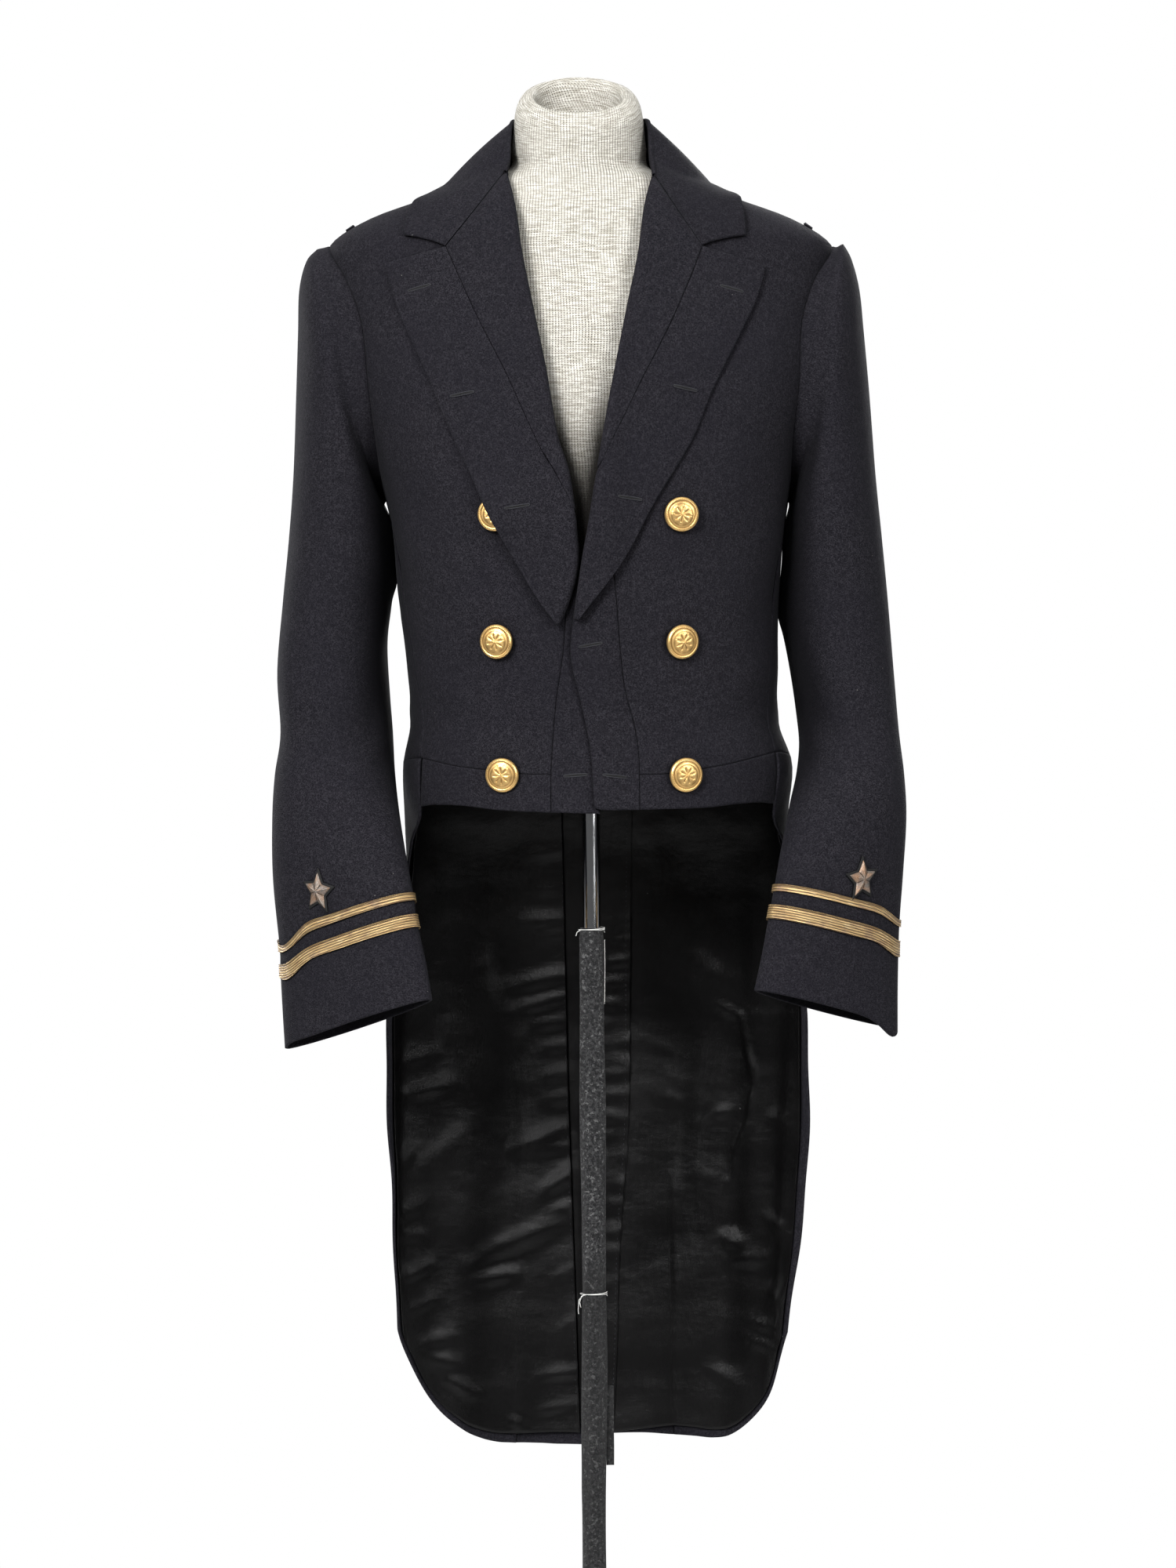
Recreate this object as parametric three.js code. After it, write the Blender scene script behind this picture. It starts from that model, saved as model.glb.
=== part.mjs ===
// Naval dress tailcoat on a limbless dress form with a pole stand.
// Millimetres, +Z up, the coat faces -Y and the wearer's left is +X.
import * as THREE from "three";

// Driving sizes
const CLOTH = 2; // wall of the navy wool
const SATIN = 1; // wall of the tail lining
const SEAM = 0.3; // space between two pieces at a seam
const HEM_FRONT = 930; // height of the front hem
const HEM_TAIL = 419; // height of the tail hem
const WAIST = 966; // height of the waist seam at the side
const NECK_POINT = 1429; // top of the shoulder seam
const SHOULDER_POINT = 1368; // top of the armhole
const BUTTON_RADIUS = 12.7;
const WIDE_LACE = 12.7;
const NARROW_LACE = 7.6;
const STAR_RADIUS = 15;
const BASE_RADIUS = 165;
const BASE_THICKNESS = 10;
const POLE_RADIUS = 7;
const COVER_RADIUS = 9.8;
const COVER_TOP = 837;
const FORM_BOTTOM = 946;
const LACE = 0.9; // thickness of the sleeve lace
const COVER = 1.3; // wall of the pole cover
const SOCKET_TOP = 34;

// Small helpers
const clamp = (v, low, high) => Math.min(high, Math.max(low, v));
const mix = (a, b, t) => a + (b - a) * t;
const smooth = (low, high, v) => {
  const t = clamp((v - low) / (high - low), 0, 1);
  return t * t * (3 - 2 * t);
};
const bell = (v, width) => Math.exp(-((v / width) ** 2));
const steps = (count) => Array.from({ length: count + 1 }, (_, i) => i / count);
const vec = (x, y, z) => new THREE.Vector3(x, y, z);

// A table is a line of column names and rows of numbers. It reads any column at any height or station.
function table(names, rows) {
  const columns = names.split(" ");
  const sorted = [...rows].sort((a, b) => a[0] - b[0]);
  const slope = (c, i) => {
    const low = sorted[Math.max(i - 1, 0)];
    const high = sorted[Math.min(i + 1, sorted.length - 1)];
    return (high[c] - low[c]) / (high[0] - low[0]);
  };
  return (key) => {
    const at = clamp(key, sorted[0][0], sorted[sorted.length - 1][0]);
    let i = 0;
    while (i < sorted.length - 2 && at > sorted[i + 1][0]) {
      i += 1;
    }
    const [low, high] = [sorted[i], sorted[i + 1]];
    const span = high[0] - low[0];
    const t = (at - low[0]) / span;
    const row = {};
    columns.forEach((name, c) => {
      const [a, b] = [slope(c, i) * span, slope(c, i + 1) * span];
      const rise = high[c] - low[c];
      const bend = t * (1 - t) * ((a - rise) * (1 - t) - (b - rise) * t);
      row[name] = low[c] + rise * t + bend;
    });
    return row;
  };
}

// A line is a table of two columns, read as one number.
const line = (rows) => {
  const read = table("key value", rows);
  return (key) => read(key).value;
};

// Outer face of the coat as level sections: reach to each side, widest depth, front, back and roundness.
const coatSection = table("z left right mid front back power", [
  [1432, -63, 51, 6, -52, 70, 2.1],
  [1419, -90, 78, 6, -60, 75, 2.1],
  [1411, -110, 98, 7, -65, 79, 2.1],
  [1403, -129, 118, 7, -70, 82, 2.1],
  [1388, -171, 160, 9, -77, 88, 2.1],
  [1368, -201, 190, 10, -85, 95, 2.2],
  [1340, -203, 191, 10, -95, 102, 2.2],
  [1305, -195, 185, 9, -105, 108, 2.3],
  [1260, -186, 179, 9, -115, 112, 2.4],
  [1210, -170, 164, 9, -121, 112, 2.5],
  [1155, -154, 154, 10, -123, 107, 2.5],
  [1095, -147, 148, 11, -119, 98, 2.5],
  [1040, -141, 148, 12, -113, 88, 2.5],
  [998, -138, 148, 13, -109, 82, 2.5],
  [965, -144, 159, 14, -110, 86, 2.4],
  [925, -143, 156, 16, -113, 98, 2.3],
  [890, -141, 157, 18, -114, 109, 2.3],
  [850, -147, 163, 20, -115, 117, 2.3],
  [766, -161, 173, 22, -115, 121, 2.3],
  [640, -161, 173, 24, -115, 119, 2.4],
  [419, -160, 172, 24, -115, 112, 2.4],
]);

// The form stands clear inside the coat. Its neck cap tips forward.
const formSection = table("z left right mid front back power tip", [
  [946, -112, 119, 10, -84, 62, 2.3, 0],
  [950, -124, 131, 12, -94, 70, 2.3, 0],
  [960, -128, 138, 13, -98, 74, 2.3, 0],
  [998, -129, 139, 13, -100, 73, 2.4, 0],
  [1040, -132, 139, 12, -104, 79, 2.4, 0],
  [1095, -138, 139, 11, -110, 89, 2.4, 0],
  [1155, -145, 145, 10, -114, 98, 2.4, 0],
  [1210, -157, 152, 9, -111, 103, 2.4, 0],
  [1260, -168, 161, 9, -105, 103, 2.3, 0],
  [1305, -174, 164, 9, -96, 99, 2.2, 0],
  [1336, -172, 161, 9, -86, 94, 2.2, 0],
  [1358, -168, 156, 9, -79, 88, 2.1, 0],
  [1376, -158, 147, 9, -74, 83, 2.1, 0],
  [1392, -142, 131, 8, -69, 79, 2.1, 0],
  [1400.8, -127, 116, 7, -65, 76, 2.1, 0],
  [1408.8, -108.6, 96.6, 6, -60, 72, 2.1, 0],
  [1416.8, -87, 75, 3, -57, 65, 2.1, 0.02],
  [1426, -62, 49, -2, -55, 52, 2.1, 0.08],
  [1442, -57.5, 43, -4, -53, 46, 2.1, 0.2],
  [1462, -55.5, 41, -6, -52, 42, 2.1, 0.36],
  [1474, -53.5, 39, -7, -51, 39, 2.1, 0.43],
  [1481, -49, 34.5, -7, -46.5, 34.5, 2.1, 0.45],
  [1483, -44, 29.5, -7, -41.5, 29.5, 2.1, 0.45],
]);

// Point of a section at an angle, moved out by a lift. The wearer's left is 0 degrees and the back is 90.
const power = (v, p) => Math.sign(v) * Math.abs(v) ** p;
function sectionPoint(row, degrees, lift = 0) {
  const at = THREE.MathUtils.degToRad(degrees);
  const [c, s] = [Math.cos(at), Math.sin(at)];
  const middle = (row.left + row.right) / 2;
  const half = (row.right - row.left) / 2;
  const depth = s < 0 ? row.mid - row.front : row.back - row.mid;
  const x = power(c, 2 / row.power) * half;
  const y = power(s, 2 / row.power) * depth;
  const nx = power(x / half, row.power - 1) / half;
  const ny = power(y / depth, row.power - 1) / depth;
  const size = Math.hypot(nx, ny) || 1;
  return vec(middle + x + (nx / size) * lift, row.mid + y + (ny / size) * lift, row.z);
}

// Angle on the front or back half of a section that has a given x, and on a side that has a given y.
function angleAtX(z, x, back = false) {
  const row = coatSection(z);
  const middle = (row.left + row.right) / 2;
  const share = clamp((x - middle) / ((row.right - row.left) / 2), -1, 1);
  const angle = THREE.MathUtils.radToDeg(Math.acos(power(share, row.power / 2)));
  return back ? angle : -angle;
}
function angleAtY(z, y, side) {
  const row = coatSection(z);
  const depth = y < row.mid ? row.mid - row.front : row.back - row.mid;
  const share = clamp((y - row.mid) / depth, -1, 1);
  const angle = THREE.MathUtils.radToDeg(Math.asin(power(share, row.power / 2)));
  return side > 0 ? angle : -180 - angle;
}

// Soft hanging folds of the tails, which fade out above the hips.
function hang(degrees, z) {
  const low = smooth(900, 620, z);
  return low * (2.6 * Math.sin(degrees * 0.13 + 0.9) + 1.6 * Math.sin(degrees * 0.31 + z * 0.006));
}
function facePoint(degrees, z, lift) {
  return sectionPoint(coatSection(z), degrees, lift + hang(degrees, z));
}
// A point on the coat's face carries the face's normal, so pieces at a seam share their wall's direction.
function coatPoint(degrees, z, lift = 0) {
  const [turn, rise] = [0.6, 2];
  const point = facePoint(degrees, z, lift);
  const aside = facePoint(degrees + turn, z, lift).sub(facePoint(degrees - turn, z, lift));
  const up = facePoint(degrees, z + rise, lift).sub(facePoint(degrees, z - rise, lift));
  point.normal = aside.cross(up).normalize();
  return point;
}
function frontPoint(x, z, lift = 0) {
  return coatPoint(angleAtX(z, x), z, lift);
}

// How far a point is outside the coat's outer face, and that point moved out to a lift.
function outside(p) {
  const row = coatSection(p.z);
  const half = (row.right - row.left) / 2;
  const depth = p.y < row.mid ? row.mid - row.front : row.back - row.mid;
  const x = Math.abs(p.x - (row.left + row.right) / 2) / half;
  const y = Math.abs(p.y - row.mid) / depth;
  return (x ** row.power + y ** row.power) ** (1 / row.power) - 1;
}
function clearOf(point, lift) {
  const p = point.clone();
  const h = 0.5;
  for (let i = 0; i < 12; i += 1) {
    const value = outside(p);
    const slope = vec(
      outside(vec(p.x + h, p.y, p.z)) - outside(vec(p.x - h, p.y, p.z)),
      outside(vec(p.x, p.y + h, p.z)) - outside(vec(p.x, p.y - h, p.z)),
      outside(vec(p.x, p.y, p.z + h)) - outside(vec(p.x, p.y, p.z - h)),
    ).divideScalar(2 * h);
    const distance = value / slope.length();
    if (distance > lift - 0.05) {
      break;
    }
    p.addScaledVector(slope.normalize(), lift - distance);
  }
  return p;
}

// Solids
function solid(points, faces) {
  const geometry = new THREE.BufferGeometry();
  const numbers = points.flatMap((p) => [p.x, p.y, p.z]);
  geometry.setAttribute("position", new THREE.Float32BufferAttribute(numbers, 3));
  geometry.setIndex(faces.flat());
  geometry.computeVertexNormals();
  return geometry;
}

// Normal of a grid of points at each point, on the side that a row and a column turn to.
function gridNormals(grid, closed) {
  const [rows, cols] = [grid.length, grid[0].length];
  return grid.map((row, i) =>
    row.map((_, j) => {
      const up = grid[Math.min(i + 1, rows - 1)][j].clone().sub(grid[Math.max(i - 1, 0)][j]);
      const next = closed ? row[(j + 1) % cols] : row[Math.min(j + 1, cols - 1)];
      const last = closed ? row[(j + cols - 1) % cols] : row[Math.max(j - 1, 0)];
      return next.clone().sub(last).cross(up).normalize();
    }),
  );
}

// A cloth wall on a grid, which is its outer face. Rows run up, and columns run so that it faces out.
function wall(grid, thickness, closed = false) {
  const [rows, cols] = [grid.length, grid[0].length];
  const plain = gridNormals(grid, closed);
  const inner = grid.map((row, i) =>
    row.map((p, j) => p.clone().addScaledVector(p.normal ?? plain[i][j], -thickness)),
  );
  const points = [...grid.flat(), ...inner.flat()];
  const out = (i, j) => i * cols + (j % cols);
  const inn = (i, j) => rows * cols + out(i, j);
  const faces = [];
  const quad = (a, b, c, d) => faces.push([a, b, c], [a, c, d]);
  const last = closed ? cols : cols - 1;
  for (let i = 0; i < rows - 1; i += 1) {
    for (let j = 0; j < last; j += 1) {
      quad(out(i, j), out(i, j + 1), out(i + 1, j + 1), out(i + 1, j));
      quad(inn(i, j), inn(i + 1, j), inn(i + 1, j + 1), inn(i, j + 1));
    }
    if (!closed) {
      quad(out(i, 0), out(i + 1, 0), inn(i + 1, 0), inn(i, 0));
      quad(out(i, cols - 1), inn(i, cols - 1), inn(i + 1, cols - 1), out(i + 1, cols - 1));
    }
  }
  for (let j = 0; j < last; j += 1) {
    quad(out(0, j), inn(0, j), inn(0, j + 1), out(0, j + 1));
    quad(out(rows - 1, j), out(rows - 1, j + 1), inn(rows - 1, j + 1), inn(rows - 1, j));
  }
  return solid(points, faces);
}

// Moves the edges of a grid in by half a seam.
function eased(grid, by = SEAM / 2, ends = true) {
  const rows = grid.map((row) => row.map((p) => Object.assign(p.clone(), { normal: p.normal })));
  const pull = (a, b) => a.addScaledVector(b.clone().sub(a).normalize(), by);
  for (const row of rows) {
    pull(row[0], row[1]);
    pull(row[row.length - 1], row[row.length - 2]);
  }
  if (ends) {
    rows[0].forEach((p, j) => pull(p, rows[1][j]));
    rows[rows.length - 1].forEach((p, j) => pull(p, rows[rows.length - 2][j]));
  }
  return rows;
}

// A closed body from rings of equal count, filled at both ends.
function loft(rings) {
  const cols = rings[0].length;
  const middle = (ring) => ring.reduce((sum, p) => sum.add(p), vec(0, 0, 0)).divideScalar(cols);
  const points = [...rings.flat(), middle(rings[0]), middle(rings[rings.length - 1])];
  const faces = [];
  const at = (i, j) => i * cols + (j % cols);
  const bottom = rings.length * cols;
  for (let i = 0; i < rings.length - 1; i += 1) {
    for (let j = 0; j < cols; j += 1) {
      faces.push([at(i, j), at(i, j + 1), at(i + 1, j + 1)], [at(i, j), at(i + 1, j + 1), at(i + 1, j)]);
    }
  }
  for (let j = 0; j < cols; j += 1) {
    faces.push([bottom, at(0, j + 1), at(0, j)]);
    faces.push([bottom + 1, at(rings.length - 1, j), at(rings.length - 1, j + 1)]);
  }
  return solid(points, faces);
}

// A turned body from a profile of radius and height, about a point and along a direction.
function turned(profile, segments, origin = vec(0, 0, 0), along = vec(0, 0, 1)) {
  const turn = new THREE.Quaternion().setFromUnitVectors(vec(0, 0, 1), along.clone().normalize());
  const rings = profile.map(([radius, height]) =>
    Array.from({ length: segments }, (_, j) => {
      const at = (j / segments) * 2 * Math.PI;
      return vec(radius * Math.cos(at), radius * Math.sin(at), height).applyQuaternion(turn).add(origin);
    }),
  );
  return loft(rings);
}

// Armhole as an oval in the side view, on the coat's outer face
const armhole = { y: 10, z: 1269, half: 99, front: 66, back: 66 };
const UNDERARM = armhole.z - armhole.half;
function armholeY(z, back) {
  const share = Math.sqrt(Math.max(0, 1 - ((z - armhole.z) / armhole.half) ** 2));
  return back ? armhole.y + armhole.back * share : armhole.y - armhole.front * share;
}
function armholePoint(turn, side, lift = 0) {
  const at = THREE.MathUtils.degToRad(turn);
  const z = armhole.z + armhole.half * Math.cos(at);
  const y = armhole.y - (Math.sin(at) > 0 ? armhole.front : armhole.back) * Math.sin(at);
  return coatPoint(angleAtY(z, y, side), z, lift);
}
const SIDE_SEAM_TOP = 1184;
const BACK_SEAM_TOP = 1262;

// Seams that cross the body, side by side: "r" is the wearer's right and "l" the wearer's left.
const sideSeamX = {
  r: line([[930, -128], [966, -127], [1000, -124]]),
  l: line([[930, 142], [966, 144], [1000, 138]]),
};
const backSeamOff = line([[940, 34], [966, 33], [1010, 35], [1080, 48], [1150, 70], [1210, 98],
  [1262, 140]]);
const pleatOff = line([[419, 64], [600, 60], [800, 50], [900, 41], [966, 33]]);
const sign = { r: -1, l: 1 };
const centreX = (z) => {
  const row = coatSection(z);
  return (row.left + row.right) / 2;
};

// Angle of the seam between front and side body
function sideSeam(z, side) {
  const foot = waistAt[side](sideSeamX[side](WAIST));
  if (z <= foot) {
    return angleAtX(z, sideSeamX[side](z));
  }
  const low = angleAtX(foot, sideSeamX[side](foot));
  const high = angleAtY(SIDE_SEAM_TOP, armholeY(SIDE_SEAM_TOP, false), sign[side]);
  const t = clamp((z - foot) / (SIDE_SEAM_TOP - foot), 0, 1);
  return mix(low, high, t * (1.25 - 0.25 * t));
}
// Angle of the seam between side body and back
function backSeam(z, side) {
  const high = angleAtY(BACK_SEAM_TOP, armholeY(BACK_SEAM_TOP, true), sign[side]);
  const top = side === "r" ? high + 360 : high;
  const plain = angleAtX(z, centreX(z) + sign[side] * backSeamOff(z), true);
  return mix(plain, top, smooth(1170, BACK_SEAM_TOP, z));
}
const shoulderY = line([[SHOULDER_POINT, 14], [1400, 17], [NECK_POINT, 19]]);

// Outer edge of a front, from the waist seam to the neck
function frontOuter(z, side) {
  if (z < SIDE_SEAM_TOP) {
    return sideSeam(z, side);
  }
  if (z < SHOULDER_POINT) {
    return angleAtY(z, armholeY(z, false), sign[side]);
  }
  return angleAtY(z, shoulderY(z), sign[side]);
}
// Outer edge of a back, from the tail hem to the neck, as an angle past 90 for the right
function backOuter(z, side) {
  const turn = (angle) => (side === "r" ? angle + 360 : angle);
  if (z < WAIST) {
    return angleAtX(z, centreX(z) + sign[side] * pleatOff(z), true);
  }
  if (z < BACK_SEAM_TOP) {
    return backSeam(z, side);
  }
  if (z < SHOULDER_POINT) {
    return turn(angleAtY(z, armholeY(z, true), sign[side]));
  }
  return turn(angleAtY(z, shoulderY(z), sign[side]));
}

// Front lines in the front view, as x at a height
const rollEdge = {
  r: line([[1068, -21], [1085, -14], [1112, -7], [1144, -8.3], [1160, -10.1], [1185, -14.2], [1209, -21.9],
    [1263, -31.4], [1306, -40.2], [1354, -49.7], [1388, -54.4], [1418, -60.6]]),
  l: line([[1072, -11.2], [1093, -8.3], [1118, -4.7], [1141, -0.6], [1175, 4.7], [1232, 14.2], [1270, 21.3],
    [1310, 29], [1354, 37.8], [1388, 42], [1416, 48]]),
};
const leafSeam = {
  r: line([[1068, -21], [1150, -10], [1180, -23], [1199, -34.2], [1231, -49], [1259, -61.4],
    [1304, -83.8], [1358, -107.5]]),
  l: line([[1072, -10], [1140, -0.6], [1182, 7], [1235, 31.3], [1250, 38.4], [1299, 62.6], [1337, 78.5],
    [1358, 86.2]]),
};
const stripSeam = {
  r: line([[930, -27.8], [960, -27.8], [1010, -24.2], [1046, -18.9], [1068, -17.2], [1110, -15],
    [1150, -13]]),
  l: line([[930, 39], [969, 38.4], [994, 34.9], [1013, 29.6], [1028, 26.6], [1059, 23.6], [1103, 19.5],
    [1150, 9], [1182, 8]]),
};
const stripEdge = {
  r: line([[930, 9], [960, 6], [1000, 3], [1040, 1], [1075, -1], [1112, -5], [1136, -7]]),
  l: line([[930, 4.7], [974, 1.8], [1010, -5.3], [1044, -13], [1072, -11.2], [1093, -8], [1118, -4.5],
    [1141, 0], [1165, 3.5]]),
};
const STRIP_TOP = { r: 1130, l: 1150 };
const waistAt = {
  r: line([[-128, 969], [-103, 963.2], [-78, 959.7], [-50, 956.7], [-28, 956]]),
  l: line([[38, 956], [61, 956.7], [86, 960.3], [113, 965.6], [145, 974]]),
};
const hemAt = {
  r: line([[-128, 931.5], [-119, 933], [-96, 932.4], [-69, 929.4], [-35, 927.7], [9, 926.5]]),
  l: line([[4.7, 931], [10, 929.5], [20, 929.3], [56, 930], [91, 931.2], [113, 933.6], [134, 934.8],
    [145, 933]]),
};

// The wearer's left front laps over the right one near the centre.
const lapOver = (x, side) => (side === "l" ? 3.4 * (1 - smooth(12, 34, x)) : 0);

// Fronts
function frontInner(z, side) {
  const x = z > STRIP_TOP[side] ? rollEdge[side](z) + sign[side] * 1.5 : stripSeam[side](z);
  return angleAtX(z, x);
}
const seamRows = {
  front: [966, 985, 1010, 1040, 1070, 1100, 1130, 1150, 1168, SIDE_SEAM_TOP],
  back: [966, 985, 1010, 1040, 1075, 1110, 1150, 1190, 1228, BACK_SEAM_TOP],
  shoulder: [SHOULDER_POINT, 1377, 1388, 1400, 1413, 1425],
};
const chestRows = [1200, 1222, 1250, 1280, 1306, 1327, 1343, 1355, 1363];
const frontRows = [...seamRows.front, ...chestRows, ...seamRows.shoulder];
function frontGrid(side) {
  const grid = frontRows.map((z, i) => {
    if (i === 0) {
      const foot = waistAt[side](sideSeamX[side](WAIST));
      return steps(8).map((u) => {
        const x = mix(stripSeam[side](956), sideSeamX[side](foot), u);
        return frontPoint(x, waistAt[side](x), lapOver(x, side));
      });
    }
    const [inner, outer] = [frontInner(z, side), frontOuter(z, side)];
    return steps(8).map((u) => {
      const degrees = mix(inner, outer, u);
      const x = facePoint(degrees, z, 0).x;
      return coatPoint(degrees, z, lapOver(x, side) * (1 - smooth(1170, 1200, z)));
    });
  });
  const ordered = side === "r" ? grid.map((row) => [...row].reverse()) : grid;
  return eased(ordered);
}

// Front edge strip, cut in one with the lapel, below the turned leaf
function stripGrid(side) {
  const levels = [HEM_FRONT, 940, 956, ...seamRows.front.slice(1).filter((z) => z <= STRIP_TOP[side])];
  const grid = levels.map((level, i) =>
    steps(4).map((u) => {
      const x = mix(stripSeam[side](level), stripEdge[side](level), u);
      const top = i === levels.length - 1 ? level - SEAM : level;
      return frontPoint(x, i === 0 ? hemAt[side](x) : top, lapOver(x, side));
    }),
  );
  const ordered = side === "l" ? grid.map((row) => [...row].reverse()) : grid;
  return eased(ordered);
}

// Waist strap below the front waist seam
function strapGrid(side) {
  const end = sideSeamX[side](WAIST);
  const grid = steps(2).map((v) =>
    steps(9).map((u) => {
      const level = mix(hemAt[side](end), waistAt[side](end), v);
      const x = mix(stripSeam[side](Math.min(level, 956)), sideSeamX[side](level), u);
      const z = mix(hemAt[side](x), waistAt[side](x), v);
      return frontPoint(x, z, lapOver(x, side));
    }),
  );
  const ordered = side === "r" ? grid.map((row) => [...row].reverse()) : grid;
  return eased(ordered);
}

// Height of the waist seam round the side, from the front waist seam to the back
const turnPast = (angle, side) => (side === "r" && angle < 0 ? angle + 360 : angle);
function waistLevel(degrees, side) {
  const foot = waistAt[side](sideSeamX[side](WAIST));
  const past = Math.abs(turnPast(degrees, side) - turnPast(sideSeam(foot, side), side));
  return mix(foot, WAIST, smooth(0, 50, past));
}

// Side body between the side seam, the back seam, the waist and the underarm
function sideGrid(side) {
  const from = Math.asin((armhole.y - armholeY(SIDE_SEAM_TOP, false)) / armhole.front);
  const to = -Math.asin((armholeY(BACK_SEAM_TOP, true) - armhole.y) / armhole.back);
  const foot = waistAt[side](sideSeamX[side](WAIST));
  const low = (u) => {
    const angle = mix(turnPast(sideSeam(foot, side), side), turnPast(backSeam(WAIST, side), side), u);
    return [angle, waistLevel(angle, side)];
  };
  const high = (u) => {
    const at = mix(from, to, u);
    const y = armhole.y - armhole.front * Math.sin(at);
    const z = armhole.z - armhole.half * Math.cos(at);
    return [turnPast(angleAtY(z, y, sign[side]), side), z];
  };
  const left = (i) => {
    const z = i === 0 ? low(0)[1] : seamRows.front[i];
    return [turnPast(sideSeam(z, side), side), z];
  };
  const right = (i) => [turnPast(backSeam(seamRows.back[i], side), side), seamRows.back[i]];
  const last = seamRows.back.length - 1;
  const corner = { a: low(0), b: low(1), c: high(0), d: high(1) };
  const grid = seamRows.back.map((_, i) =>
    steps(7).map((u) => {
      const v = i / last;
      const blend = (k) =>
        mix(low(u)[k], high(u)[k], v) + mix(left(i)[k], right(i)[k], u) -
        mix(mix(corner.a[k], corner.b[k], u), mix(corner.c[k], corner.d[k], u), v);
      return coatPoint(blend(0), blend(1));
    }),
  );
  const ordered = side === "r" ? grid.map((row) => [...row].reverse()) : grid;
  return eased(ordered);
}

// Backs run from the neck to the tail hem. Below the waist the right one passes under the left at the vent.
const VENT_TOP = 948;
const skirtRows = [HEM_TAIL + 2, 450, 495, 550, 620, 690, 760, 825, 872, 905, 931, 950];
const backRows = [...skirtRows, ...seamRows.back, 1290, 1316, 1338, 1353, ...seamRows.shoulder];
const tailHem = line([[-37, 419.7], [-5.6, 418], [0, 419], [6, 426], [20, 428.5], [47, 429], [72, 428.5]]);
const LAYER = { lining: -2.7, underlap: -4.4, facing: -6.5 };
function jog(x, z) {
  const centre = centreX(z);
  return (1 - smooth(VENT_TOP - 14, VENT_TOP, z)) * smooth(centre - 10, centre - 1, x);
}
function backGrid(side) {
  const reach = side === "l" ? 0.8 : 0;
  const grid = backRows.map((z, i) => {
    const outer = backOuter(z, side);
    const inner = z < VENT_TOP ? angleAtX(z, centreX(z) + reach, true) : 90;
    return steps(6).map((u) => {
      const degrees = mix(inner, outer, u);
      const x = facePoint(degrees, z, 0).x;
      const level = i === 0 ? mix(tailHem(x), tailLow(side, 0), smooth(0.5, 1, u)) : z;
      return coatPoint(degrees, level, side === "r" ? LAYER.underlap * jog(x, level) : 0);
    });
  });
  const ordered = side === "l" ? grid.map((row) => [...row].reverse()) : grid;
  return eased(ordered);
}
// Vent extension of the right back, which passes under the left one
const underlapEdge = line([[430, 20.5], [500, 22.5], [560, 24.5], [620, 28], [700, 32.5], [931, 35]]);
function underlapGrid() {
  const grid = skirtRows.slice(0, -1).map((z, i) =>
    steps(4).map((u) => {
      const level = i === 0 ? HEM_TAIL + 8 : z;
      const x = mix(centreX(level) + 0.4, underlapEdge(level), u);
      return coatPoint(angleAtX(level, x, true), level, LAYER.underlap);
    }),
  );
  return eased(grid.map((row) => [...row].reverse()));
}

// Tails run from the side pleat to the free front edge, which sweeps back below the waist strap.
const edgeSweep = line([[931, -27], [918, -22], [902, -14], [882, -6], [850, 0], [800, 5], [740, 9],
  [640, 13.5],
  [540, 20.5], [470, 27], [419, 34]]);
function tailEdge(z, side) {
  const seam = turnPast(sideSeam(z, side), side);
  const free = side === "r" ? 180 - edgeSweep(z) : edgeSweep(z);
  return mix(free, seam, smooth(905, 931, z));
}
const cornerRise = {
  r: line([[0, 0], [0.15, 1], [0.3, 5], [0.45, 12], [0.62, 26], [0.76, 46], [0.88, 66], [1, 96]]),
  l: line([[0, 7], [0.15, 6], [0.3, 4.5], [0.45, 7], [0.62, 18], [0.76, 34], [0.88, 58], [1, 94]]),
};
function tailLow(side, u) {
  return HEM_TAIL + 2 + cornerRise[side](u);
}
// Address of a tail point as an angle and a height, at a share of the way round and at a row
function tailAddress(side, u, i) {
  const rows = [...skirtRows, WAIST];
  const v = (rows[i] - rows[0]) / (WAIST - rows[0]);
  const settle = (1 - v) ** 2;
  const low = rows[0] + cornerRise[side](u) * settle;
  const guess = mix(low, WAIST, v);
  const pleatAt = (z) => angleAtX(z, centreX(z) + sign[side] * pleatOff(z), true);
  const degrees = mix(pleatAt(guess), tailEdge(guess, side), u);
  const rise = (waistLevel(degrees, side) - WAIST) * smooth(0.93, 1, v);
  const z = i === 0 || u > 0 ? guess + rise : rows[i];
  return u === 1 ? [tailEdge(z, side), z] : [degrees, z];
}
function tailGrid(side) {
  const count = skirtRows.length + 1;
  const grid = Array.from({ length: count }, (_, i) =>
    steps(10).map((u) => coatPoint(...tailAddress(side, u, i))),
  );
  const ordered = side === "l" ? grid.map((row) => [...row].reverse()) : grid;
  return eased(ordered);
}

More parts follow.
